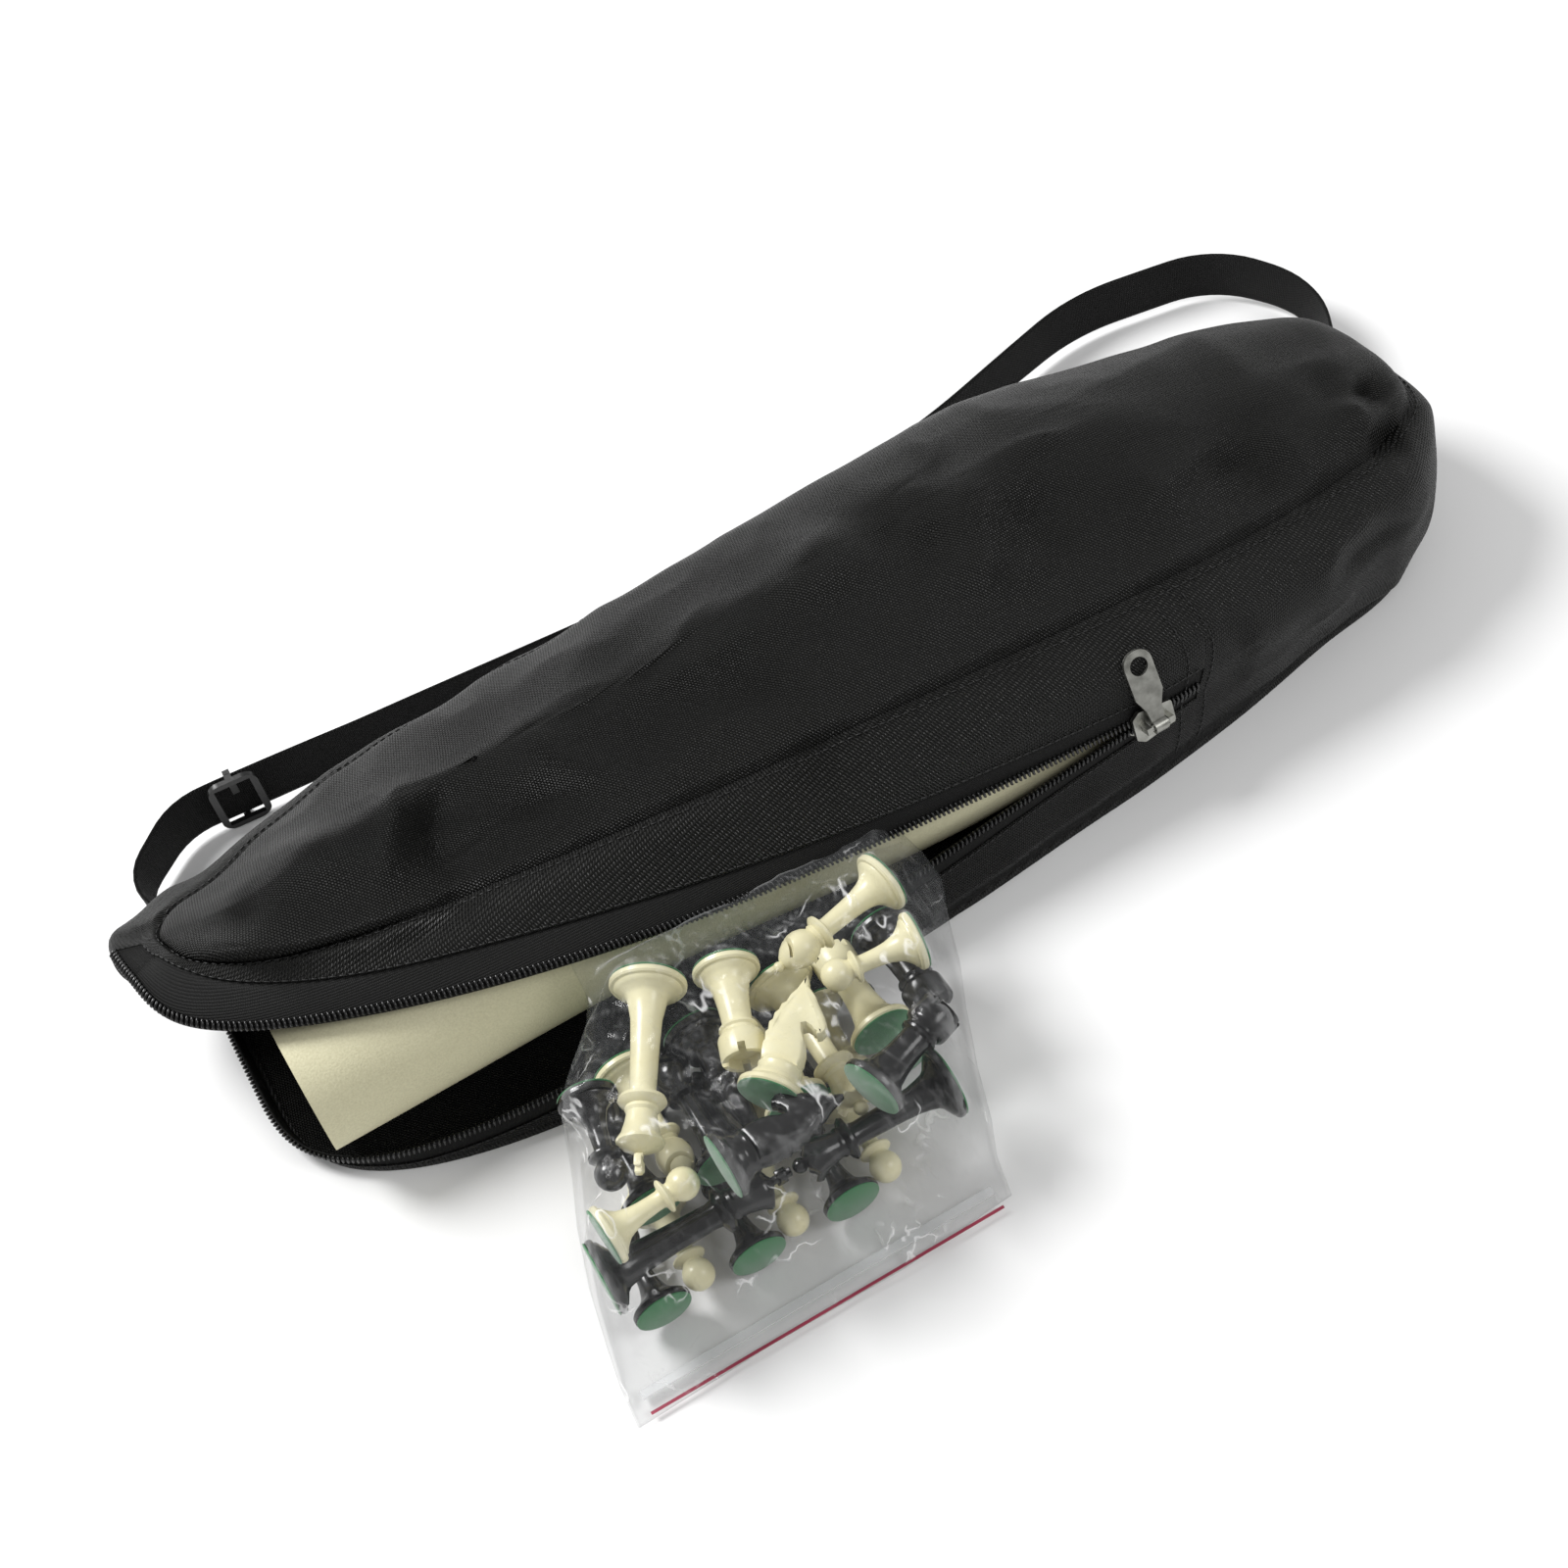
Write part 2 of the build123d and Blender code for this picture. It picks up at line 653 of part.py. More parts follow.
def laid_row(names, loose, x_first, y_near, floor):
    """Men side by side along X, turned head to tail by turns. The first points towards the pouch."""
    laid = []
    x = x_first
    for index, name in enumerate(names):
        colour, kind = name.split()
        points_near = index % 2 == 0
        if index > 0:
            before = names[index - 1].split()[1]
            x += side_by_side(kind, before) if not points_near else side_by_side(before, kind)
            x += loose[index]
        y = y_near - men_kinds[kind][2] if points_near else y_near
        laid.append((colour, kind, lying(x, y, floor + men_kinds[kind][1], 90 if points_near else -90)))
    return laid


# The heap: two rows of pawns on the table, a row of larger men and the long ones on them, the rest on top.
mouth_y = -pouch_depth / 2 + 21.5
film = 0.5
film_floor = 0.5
men_clear = 0.2
layer_clear = 0.25
low_floor = film_floor + film + layer_clear
middle_floor = low_floor + 2 * pawn_base + layer_clear
top_z = middle_floor + 2 * king_base
strip_y = mouth_y - 85.2
front_names = ("white pawn", "black pawn", "black pawn", "white pawn", "black pawn", "white pawn", "black pawn")
back_names = ("black pawn", "white pawn", "black pawn", "white pawn", "black pawn", "white pawn")
middle_names = (
    "black bishop", "white bishop", "black bishop", "black knight",
    "white knight", "white queen", "white rook", "black rook",
)
laid_men = (
    laid_row(front_names, (0, 0.6, 3, 0.6, 3.5, 0.8, 0.6), -134.8, mouth_y - 26.5, low_floor)
    + laid_row(back_names, (0, 0.6, 5, 0.7, 5, 0.6), -148.0, mouth_y - 27 - pawn_height, low_floor)
    + laid_row(middle_names, (0,) * 8, -135.5, mouth_y - 23.7, middle_floor)
    + [
        ("black", "king", lying(-161, strip_y, middle_floor + king_base + 0.1, 0)),
        ("black", "queen", lying(-93.4 + queen_height, strip_y, middle_floor + king_base + 0.1, 180)),
        ("white", "king", lying(-103, mouth_y - 13.5, top_z + 9.7, -120)),
        ("black", "pawn", lying(-138, mouth_y - 37.5, top_z + 7.1, -101)),
        ("white", "pawn", lying(-155, mouth_y - 83, top_z + 7.35, 5)),
        ("black", "knight", lying(-114, mouth_y - 83.5, top_z + 10.2, 3)),
        ("white", "knight", lying(-90, mouth_y - 69.8, top_z + 8.2, 42)),
        ("white", "rook", lying(-79, mouth_y - 19.5, top_z + 4.6, -108)),
        ("white", "bishop", lying(-20, mouth_y - 21.5, top_z + 7.8, -168)),
        ("black", "rook", lying(-62, mouth_y - 82.5, top_z + 4.0, 20)),
        ("white", "pawn", lying(-22.4, mouth_y - 46.5, top_z + 7.3, 174)),
    ]
)

men_nodes = (
    ("pawns", "pawn"), ("rooks", "rook"), ("knights", "knight"), ("bishops", "bishop"), ("queen", "queen"), ("king", "king"),
)
for colour in ("white", "black"):
    for node, kind in men_nodes:
        places = [place for laid_colour, laid_kind, place in laid_men if (laid_colour, laid_kind) == (colour, kind)]
        with BuildPart() as men:
            with Locations(*places):
                add(men_kinds[kind][0])
        label_and_write(men.part, colour + "_" + node)

felt_inset = 0.5
for colour in ("white", "black"):
    with BuildPart() as felts:
        for laid_colour, kind, place in laid_men:
            if laid_colour == colour:
                with Locations(place):
                    Cylinder(
                        men_kinds[kind][1] - felt_inset, felt - 0.05, align=(Align.CENTER, Align.CENTER, Align.MIN)
                    )
    label_and_write(felts.part, colour + "_felts")

# Clear bag: it comes out of the mouth, spreads over the men on the table and ends in a flat press seal.
bag_half = 70.0
bag_top = top_z + king_base + 10.5
# distance from the mouth, centre, half width, top half width, underside, shoulder, top
film_sections = (
    (0.0, -61.0, 58.0, 34.0, 30.0, 37.0, 41.5),
    (-4.5, -62.0, 60.0, 36.0, 29.2, 37.5, 43.0),
    (-6.0, -63.0, 63.0, 55.0, 28.9, 42.0, bag_top - 1),
    (-15.5, -69.0, bag_half, 64.0, 25.8, 46.0, bag_top),
    (-22.5, -73.0, bag_half, 66.0, 9.0, 46.0, bag_top),
    (-25.5, -75.0, bag_half + 0.5, 66.0, film_floor, 46.0, bag_top),
    (-55.5, -87.0, bag_half + 0.5, 66.0, film_floor, 46.0, bag_top),
    (-94.0, -98.0, bag_half, 64.0, film_floor, 46.0, bag_top - 1),
    (-98.0, -99.0, bag_half, 58.0, film_floor, 42.0, 52.0),
    (-102.5, -101.0, bag_half - 1, 54.0, film_floor, 9.0, 12.0),
    (-107.5, -102.0, bag_half - 1, 66.0, film_floor, 1.7, 2.1),
    (-119.5, -103.0, bag_half - 1, 66.0, film_floor, 1.7, 2.1),
)


def film_solid(inset):
    with BuildPart() as form:
        for y_out, x_mid, half, top_half, low, shoulder, top in film_sections:
            first = y_out == film_sections[0][0]
            last = y_out == film_sections[-1][0]
            y_here = mouth_y + (y_out - inset if first else y_out + inset if last else y_out)
            with BuildSketch(Plane.XZ.offset(-y_here)):
                with BuildLine():
                    Polyline(
                        (x_mid - half + inset, low + inset),
                        (x_mid + half - inset, low + inset),
                        (x_mid + half - inset, shoulder - inset),
                        (x_mid + top_half - inset, top - inset),
                        (x_mid - top_half + inset, top - inset),
                        (x_mid - half + inset, shoulder - inset),
                        close=True,
                    )
                make_face()
        loft(ruled=True)
    return form.part


with BuildPart() as men_bag_film:
    add(film_solid(0))
    add(film_solid(film), mode=Mode.SUBTRACT)
label_and_write(men_bag_film.part, "men_bag_film")

# Press seal: two ribs on the flat mouth of the clear bag and a coloured line beside them.
seal_y = mouth_y - 111.5
line_y = mouth_y - 118.0
for name, y, width, height in (("bag_seal_ribs", seal_y, 3.0, 1.0), ("bag_seal_line", line_y, 1.0, 0.3)):
    with BuildPart() as strip:
        with Locations((-102.5, y, 2.1 + height / 2 + 0.02)):
            Box(128, width, height)
    label_and_write(strip.part, name)
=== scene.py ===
# %% [markdown]
# A travel chess set lies on a table: a soft black pouch with its zip open, a rolled board inside,
# a clear bag of chess men half out of the mouth, and a webbing strap behind.
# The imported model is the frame. It says where each piece is, and this script gives each piece its looks.

import json
import math

import bmesh
import bpy
import numpy as np
from mathutils import Matrix, Quaternion, Vector, noise
from mathutils.bvhtree import BVHTree

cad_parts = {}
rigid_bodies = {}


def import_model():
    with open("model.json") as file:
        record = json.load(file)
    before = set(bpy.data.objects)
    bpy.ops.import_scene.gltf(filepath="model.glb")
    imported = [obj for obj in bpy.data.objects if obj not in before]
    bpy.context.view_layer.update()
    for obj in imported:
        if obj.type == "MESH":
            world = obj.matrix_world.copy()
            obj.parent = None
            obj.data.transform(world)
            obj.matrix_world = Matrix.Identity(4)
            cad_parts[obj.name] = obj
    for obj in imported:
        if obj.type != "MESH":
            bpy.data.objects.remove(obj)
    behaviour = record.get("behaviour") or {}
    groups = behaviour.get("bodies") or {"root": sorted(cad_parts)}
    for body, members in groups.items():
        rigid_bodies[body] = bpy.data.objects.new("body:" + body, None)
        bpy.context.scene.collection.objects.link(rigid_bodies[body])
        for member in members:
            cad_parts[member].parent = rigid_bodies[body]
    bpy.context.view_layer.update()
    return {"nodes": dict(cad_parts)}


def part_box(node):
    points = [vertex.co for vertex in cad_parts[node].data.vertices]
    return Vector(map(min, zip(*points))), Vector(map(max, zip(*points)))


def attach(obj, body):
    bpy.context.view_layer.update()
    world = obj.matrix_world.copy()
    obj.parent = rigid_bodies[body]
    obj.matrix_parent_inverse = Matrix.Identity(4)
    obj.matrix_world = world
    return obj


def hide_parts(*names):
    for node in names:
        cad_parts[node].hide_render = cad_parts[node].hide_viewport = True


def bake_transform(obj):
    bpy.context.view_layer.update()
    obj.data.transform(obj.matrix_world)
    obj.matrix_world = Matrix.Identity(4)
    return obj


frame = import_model()
MM = 0.001

# %% [markdown]
# The camera comes first, because folds and creases are found by looking through it.
# It looks down at the front of the pouch, a little from the left, and is rolled on its axis.

# %% Camera
photo_size = 1600
focal_pixels = 2400.0
camera_azimuth = math.radians(-19.5)
camera_elevation = math.radians(55.0)
camera_roll = math.radians(-12.0)
camera_distance = 0.804
camera_target = Vector((-0.026, -0.016, 0.040))

camera_back = Vector((
    math.sin(camera_azimuth) * math.cos(camera_elevation),
    -math.cos(camera_azimuth) * math.cos(camera_elevation),
    math.sin(camera_elevation),
))
camera_data = bpy.data.cameras.new("camera")
camera = bpy.data.objects.new("camera", camera_data)
bpy.context.scene.collection.objects.link(camera)
camera_data.sensor_width = 36.0
camera_data.lens = camera_data.sensor_width * focal_pixels / photo_size
camera_data.clip_start = 0.01
camera.rotation_mode = "QUATERNION"
camera.location = camera_target + camera_back * camera_distance
level_look = (-camera_back).to_track_quat("-Z", "Y")
camera.rotation_quaternion = level_look @ Quaternion((0, 0, 1), camera_roll)
bpy.context.scene.camera = camera
print("camera at", [round(v, 3) for v in camera.location], "lens", round(camera_data.lens, 1))


def photo_ray(pixel):
    """Start and direction of the line of sight through a pixel of the photograph."""
    turn = camera.rotation_quaternion.to_matrix()
    across = pixel[0] - photo_size / 2
    down = pixel[1] - photo_size / 2
    return camera.location.copy(), (turn @ Vector((across, -down, -focal_pixels))).normalized()


# %% [markdown]
# Most finishes here are plastics and cloths. Each has a base colour, a gloss and a fine relief.
# Small helpers add and join shader nodes, so that each finish below reads as a recipe.

# %% Helpers for finishes
def new_finish(name, **sockets):
    """A material with one Principled shader, whose plain values sit on its own sockets."""
    material = bpy.data.materials.new(name)
    material.use_nodes = True
    shader = material.node_tree.nodes["Principled BSDF"]
    for socket, value in sockets.items():
        shader.inputs[socket.replace("_", " ")].default_value = value
    return material, shader


def add_node(material, kind, **settings):
    node = material.node_tree.nodes.new(kind)
    for key, value in settings.items():
        if key.startswith("in_"):
            node.inputs[key[3:].replace("_", " ")].default_value = value
        else:
            setattr(node, key, value)
    return node


def join_nodes(material, start, end):
    material.node_tree.links.new(start, end)


def math_node(material, operation, first, second=None, third=None):
    """One sum of shader math. Each term is a number or another node's output."""
    node = add_node(material, "ShaderNodeMath", operation=operation)
    for place, term in enumerate((first, second, third)):
        if term is None:
            continue
        if isinstance(term, (int, float)):
            node.inputs[place].default_value = term
        else:
            join_nodes(material, term, node.inputs[place])
    return node.outputs[0]


def noise_node(material, vector, scale, detail=3.0, roughness=0.5):
    node = add_node(material, "ShaderNodeTexNoise", in_Scale=scale, in_Detail=detail, in_Roughness=roughness)
    join_nodes(material, vector, node.inputs["Vector"])
    return node.outputs["Fac"]


def colour_ramp(material, factor, *stops):
    node = add_node(material, "ShaderNodeValToRGB")
    ramp = node.color_ramp
    while len(ramp.elements) < len(stops):
        ramp.elements.new(0.5)
    for element, (place, colour) in zip(ramp.elements, stops):
        element.position = place
        element.color = (*colour, 1.0)
    join_nodes(material, factor, node.inputs["Fac"])
    return node.outputs["Color"]


def add_bump(material, shader, height, distance, strength=1.0):
    node = add_node(material, "ShaderNodeBump", in_Distance=distance, in_Strength=strength)
    join_nodes(material, height, node.inputs["Height"])
    join_nodes(material, node.outputs["Normal"], shader.inputs["Normal"])


def vary_roughness(material, shader, factor, low, high):
    node = add_node(material, "ShaderNodeMapRange", in_To_Min=low, in_To_Max=high)
    join_nodes(material, factor, node.inputs["Value"])
    join_nodes(material, node.outputs[0], shader.inputs["Roughness"])


def place_vector(material):
    """Coordinates on the object itself, which don't slide when a joint moves."""
    return add_node(material, "ShaderNodeTexCoord").outputs["Object"]


def cloth_vector(material):
    """Coordinates along the cloth, from its own UV map, in metres."""
    return add_node(material, "ShaderNodeUVMap", uv_map="cloth").outputs["UV"]


# %% [markdown]
# The pouch is ribbed oxford nylon: thick yarns one way and thin ones across, with a dull sheen.
# Two crossed waves on the cloth's own coordinates make the yarns, and noise makes them uneven. The yarns' crests are
# painted lighter as a painted highlight, and random patches vary the tone.

# %% Nylon
rib_pitch = 1.7 * MM
yarn_pitch = 1.1 * MM
nylon_colour = (0.0012, 0.0012, 0.0012)
# The light tone is a painted highlight on the yarn crests, and also the tone of the lighter random patches.
nylon_highlight_and_patch = (0.018, 0.018, 0.0165)


def woven_finish(name, across_pitch, along_pitch, dark, light, roughness, depth, turned=0.0, gloss=0.22):
    """Cloth whose ribs stand every across_pitch, crossed by finer yarns every along_pitch; their crests are painted
    lighter as a painted highlight.
    """
    material, shader = new_finish(name, Roughness=roughness, Specular_IOR_Level=gloss)
    mapping = add_node(material, "ShaderNodeMapping")
    mapping.inputs["Rotation"].default_value = (0, 0, turned)
    join_nodes(material, cloth_vector(material), mapping.inputs["Vector"])
    parts = add_node(material, "ShaderNodeSeparateXYZ")
    join_nodes(material, mapping.outputs[0], parts.inputs[0])
    wobble = noise_node(material, mapping.outputs[0], 900.0, 2.0)
    wobble = math_node(material, "MULTIPLY", wobble, 1.6)
    across = math_node(material, "MULTIPLY_ADD", parts.outputs["Y"], 2 * math.pi / across_pitch, wobble)
    along = math_node(material, "MULTIPLY_ADD", parts.outputs["X"], 2 * math.pi / along_pitch, wobble)
    rib = math_node(material, "SINE", across)
    shifted = math_node(material, "MULTIPLY_ADD", math_node(material, "SIGN", rib), math.pi / 2, along)
    yarn = math_node(material, "SINE", shifted)
    weave = math_node(material, "MULTIPLY_ADD", yarn, 0.45, math_node(material, "ABSOLUTE", rib))
    fibre = noise_node(material, mapping.outputs[0], 2600.0, 2.0)
    weave = math_node(material, "MULTIPLY_ADD", fibre, 0.5, weave)
    patches = noise_node(material, place_vector(material), 9.0, 4.0)
    # The weave's crests are painted lighter, a painted highlight on the yarns; the patches are random tone.
    tone = math_node(material, "MULTIPLY_ADD", weave, 0.5, math_node(material, "MULTIPLY", patches, 0.25))
    join_nodes(material, colour_ramp(material, tone, (0.2, dark), (0.85, light)), shader.inputs["Base Color"])
    vary_roughness(material, shader, patches, roughness - 0.08, roughness + 0.1)
    add_bump(material, shader, weave, depth)
    return material


nylon = woven_finish("ribbed nylon", rib_pitch, yarn_pitch, nylon_colour, nylon_highlight_and_patch, 0.42, 0.8 * MM, turned=math.radians(48), gloss=0.3)
tape_cloth = woven_finish("zip tape", 0.9 * MM, 0.6 * MM, (0.002, 0.002, 0.002), (0.007, 0.007, 0.0065), 0.6, 0.12 * MM)
webbing_cloth = woven_finish(
    "strap webbing", 1.5 * MM, 0.9 * MM, (0.002, 0.002, 0.002), (0.009, 0.009, 0.0085), 0.55, 0.35 * MM,
    turned=math.pi / 2,
)

# %% [markdown]
# The men are moulded plastic with a polished skin: faint unevenness, and no grain.
# The board's back is soft cream vinyl with a pebbled skin. The zip's metal is dull nickel.

# %% Plastics, vinyl, metal and felt


def moulded_finish(name, dark, light, roughness, ripple=0.05 * MM):
    material, shader = new_finish(name, Roughness=roughness, Specular_IOR_Level=0.5)
    vector = place_vector(material)
    cloudy = noise_node(material, vector, 60.0, 4.0)
    join_nodes(material, colour_ramp(material, cloudy, (0.3, dark), (0.7, light)), shader.inputs["Base Color"])
    vary_roughness(material, shader, noise_node(material, vector, 240.0, 3.0), roughness - 0.06, roughness + 0.08)
    add_bump(material, shader, noise_node(material, vector, 500.0, 2.0), ripple)
    return material


ivory = moulded_finish("ivory plastic", (0.70, 0.65, 0.41), (0.80, 0.76, 0.52), 0.28)
black_plastic = moulded_finish("black plastic", (0.003, 0.003, 0.003), (0.006, 0.006, 0.006), 0.2)
adjuster_finish = moulded_finish("adjuster plastic", (0.005, 0.005, 0.005), (0.009, 0.009, 0.009), 0.34)
coil_finish = moulded_finish("coil plastic", (0.004, 0.004, 0.004), (0.008, 0.008, 0.008), 0.22)
thread_finish = moulded_finish("sewing thread", (0.002, 0.002, 0.002), (0.005, 0.005, 0.005), 0.5)


def pebbled_vinyl():
    material, shader = new_finish("cream vinyl", Roughness=0.62, Specular_IOR_Level=0.35)
    vector = place_vector(material)
    pebbles = add_node(material, "ShaderNodeTexVoronoi", in_Scale=1500.0)
    join_nodes(material, vector, pebbles.inputs["Vector"])
    speckle = noise_node(material, vector, 1400.0, 3.0)
    cloudy = noise_node(material, vector, 14.0, 4.0)
    tone = math_node(material, "MULTIPLY_ADD", speckle, 0.55, math_node(material, "MULTIPLY", cloudy, 0.45))
    cream = colour_ramp(material, tone, (0.3, (0.50, 0.47, 0.31)), (0.55, (0.60, 0.57, 0.39)), (0.8, (0.68, 0.65, 0.47)))
    join_nodes(material, cream, shader.inputs["Base Color"])
    add_bump(material, shader, pebbles.outputs["Distance"], 0.12 * MM, 0.7)
    return material


def brushed_nickel():
    material, shader = new_finish("dull nickel", Metallic=1.0, Roughness=0.36)
    vector = place_vector(material)
    wear = noise_node(material, vector, 260.0, 5.0)
    nickel = colour_ramp(material, wear, (0.3, (0.22, 0.22, 0.20)), (0.7, (0.40, 0.40, 0.37)))
    join_nodes(material, nickel, shader.inputs["Base Color"])
    vary_roughness(material, shader, wear, 0.28, 0.5)
    add_bump(material, shader, noise_node(material, vector, 900.0, 4.0), 0.06 * MM)
    return material


def green_felt():
    material, shader = new_finish("green felt", Roughness=0.95, Sheen_Weight=0.5, Specular_IOR_Level=0.15)
    vector = place_vector(material)
    fuzz = noise_node(material, vector, 1800.0, 5.0, 0.7)
    green = colour_ramp(material, fuzz, (0.3, (0.012, 0.12, 0.035)), (0.7, (0.035, 0.24, 0.075)))
    join_nodes(material, green, shader.inputs["Base Color"])
    add_bump(material, shader, fuzz, 0.25 * MM)
    return material


def clear_film():
    """Thin film: seen through where it lies flat, and glossy; white along its creases and in scattered streaks, which
    are painted highlights.
    """
    material, shader = new_finish("clear film", Roughness=0.1, Specular_IOR_Level=0.8, IOR=1.45)
    vector = place_vector(material)
    crease_glint = add_node(material, "ShaderNodeAttribute", attribute_name="crease_glint").outputs["Fac"]
    stretched = add_node(material, "ShaderNodeMapping")
    stretched.inputs["Rotation"].default_value = (0.0, 0.0, 0.5)
    stretched.inputs["Scale"].default_value = (1.0, 0.45, 1.0)
    join_nodes(material, vector, stretched.inputs["Vector"])
    # Thin wandering streaks in groups, and the creases, are painted white. These are painted highlights of the crinkled
    # film, and they also make the film more opaque there.
    wandering = noise_node(material, stretched.outputs[0], 60.0, 3.0, 0.55)
    off_middle = math_node(material, "ABSOLUTE", math_node(material, "SUBTRACT", wandering, 0.5))
    glint_streak = math_node(material, "SUBTRACT", 1.0, math_node(material, "MULTIPLY", off_middle, 40.0))
    glint_streak = math_node(material, "MAXIMUM", glint_streak, 0.0)
    glint_groups = math_node(material, "SUBTRACT", noise_node(material, vector, 48.0, 2.0), 0.54)
    glint_groups = math_node(material, "MINIMUM", math_node(material, "MAXIMUM", math_node(material, "MULTIPLY", glint_groups, 9.0), 0.0), 1.0)
    white = math_node(material, "MULTIPLY_ADD", glint_streak, glint_groups, math_node(material, "MULTIPLY", crease_glint, 0.3))
    white = math_node(material, "MINIMUM", white, 1.0)
    join_nodes(material, colour_ramp(material, white, (0.0, (0.16, 0.165, 0.17)), (0.6, (0.95, 0.95, 0.95))), shader.inputs["Base Color"])
    # The film also grows more opaque where it is seen edge-on, which is a painted reflection.
    edge_on_sheen = add_node(material, "ShaderNodeLayerWeight", in_Blend=0.25).outputs["Facing"]
    clear = math_node(material, "MULTIPLY_ADD", edge_on_sheen, 0.3, 0.055)
    join_nodes(material, math_node(material, "MULTIPLY_ADD", white, 0.42, clear), shader.inputs["Alpha"])
    add_bump(material, shader, noise_node(material, vector, 190.0, 3.0, 0.6), 0.6 * MM, 0.5)
    return material


cream_vinyl = pebbled_vinyl()
nickel = brushed_nickel()
felt_finish = green_felt()
film_finish = clear_film()
line_finish = moulded_finish("seal line", (0.26, 0.02, 0.05), (0.36, 0.04, 0.08), 0.4)
seal_finish, seal_shader = new_finish("clear ribs", Roughness=0.18, Base_Color=(0.85, 0.86, 0.87, 1.0), Alpha=0.45)
print("finishes:", len(bpy.data.materials))


# %% Helpers for meshes
def clear_selection():
    for obj in bpy.context.scene.objects:
        obj.select_set(False)


def make_piece(name, points, faces, material, body, replaced=(), uv=None, smooth_angle=50):
    """A mesh piece of the object, on its CAD body, in place of the named CAD nodes."""
    mesh = bpy.data.meshes.new(name)
    mesh.from_pydata([tuple(map(float, p)) for p in points], [], [tuple(map(int, f)) for f in faces])
    if uv is not None:
        layer = mesh.uv_layers.new(name="cloth")
        corners = np.array([loop.vertex_index for loop in mesh.loops])
        layer.data.foreach_set("uv", np.asarray(uv, np.float32)[corners].ravel())
    mesh.update()
    obj = bpy.data.objects.new(name, mesh)
    bpy.context.scene.collection.objects.link(obj)
    return dress_piece(obj, material, body, replaced, smooth_angle)


def dress_piece(obj, material, body, replaced=(), smooth_angle=50):
    obj.data.materials.clear()
    obj.data.materials.append(material)
    if smooth_angle:
        clear_selection()
        obj.select_set(True)
        bpy.context.view_layer.objects.active = obj
        bpy.ops.object.shade_smooth_by_angle(angle=math.radians(smooth_angle))
    if body:
        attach(obj, body)
    if replaced:
        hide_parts(*replaced)
    return obj


def apply_modifiers(obj):
    clear_selection()
    obj.select_set(True)
    bpy.context.view_layer.objects.active = obj
    for modifier in list(obj.modifiers):
        bpy.ops.object.modifier_apply(modifier=modifier.name)


def ease(t):
    t = np.clip(t, 0.0, 1.0)
    return t * t * (3 - 2 * t)


# %% [markdown]
# The pouch is a soft bag on its side. Its form is the CAD form: outlines at a few heights.
# Here the outlines flow into each other, and the skin is one grid of rows and columns that is
# later parted along the seams, so that panels meet exactly.

# %% The pouch's form
pouch_length = 496 * MM
pouch_depth = 152 * MM
pouch_height = 88 * MM
bottom_seam_z = 2.5 * MM
top_seam_mid_z = 68 * MM
top_seam_slope = -0.03
slider_x = 102 * MM
slider_z = 35 * MM
zip_end_x = 118 * MM
zip_back_y = 42 * MM
upper_coil_rise = 0.0906
lower_coil_drop = 0.079
coil_width = 2.6 * MM
tape_show = 4.5 * MM

# height, left end, right end, front, back, squareness of the front corners, the back left, the back right
plan_levels = np.array((
    (0.000, -0.456, 0.472, -0.487, 0.434, 3.2, 6.0, 4.0),
    (0.290, -0.482, 0.496, -0.428, 0.487, 3.2, 6.0, 4.0),
    (0.570, -0.499, 0.500, -0.362, 0.513, 3.4, 6.0, 4.0),
    (0.740, -0.496, 0.488, -0.215, 0.500, 3.4, 5.0, 3.6),
    (0.830, -0.470, 0.455, -0.118, 0.461, 3.2, 4.0, 3.2),
    (0.920, -0.410, 0.385, 0.000, 0.368, 2.8, 3.0, 2.8),
    (1.000, -0.280, 0.240, 0.118, 0.237, 2.0, 2.0, 2.0),
))


def smooth_between(stops, values, at):
    """A smooth curve through the values that never overshoots them."""
    step = np.diff(stops)
    rise = np.diff(values) / step
    slope = np.zeros(len(values))
    same_way = rise[1:] * rise[:-1] > 0
    slope[1:-1][same_way] = 2 * rise[1:][same_way] * rise[:-1][same_way] / (rise[1:] + rise[:-1])[same_way]
    slope[0], slope[-1] = rise[0], rise[-1]
    k = np.clip(np.searchsorted(stops, at) - 1, 0, len(step) - 1)
    t = np.clip((at - stops[k]) / step[k], 0, 1)
    low = values[k] * (1 + 2 * t) * (1 - t) ** 2 + slope[k] * step[k] * t * (1 - t) ** 2
    high = values[k + 1] * t * t * (3 - 2 * t) - slope[k + 1] * step[k] * t * t * (1 - t)
    return low + high


def outline_at(share, angle):
    """Plan points of the pouch's outline at some share of its height, for angles from the right end."""
    left, right, front, back, square_front, square_left, square_right = (
        smooth_between(plan_levels[:, 0], plan_levels[:, column], share) for column in range(1, 8)
    )
    behind = np.sin(angle) > 0
    squareness = np.where(behind, np.where(np.cos(angle) > 0, square_right, square_left), square_front)
    across = np.sign(np.cos(angle)) * np.abs(np.cos(angle)) ** (2 / squareness)
    deep = np.sign(np.sin(angle)) * np.abs(np.sin(angle)) ** (2 / squareness)
    x = ((left + right) + (right - left) * across) / 2 * pouch_length
    y = ((front + back) + (back - front) * deep) / 2 * pouch_depth
    return x, y


# %% Columns of the skin, evenly spaced along the outline
side_columns = 160


def even_angles(start, stop):
    """Angles at which the outline at half height is cut into even steps."""
    fine = np.linspace(math.radians(start), math.radians(stop), 20000)
    x, y = outline_at(np.full(len(fine), 0.45), fine)
    run = np.concatenate(([0], np.cumsum(np.hypot(np.diff(x), np.diff(y)))))
    return np.interp(np.linspace(0, run[-1], side_columns + 1), run, fine)


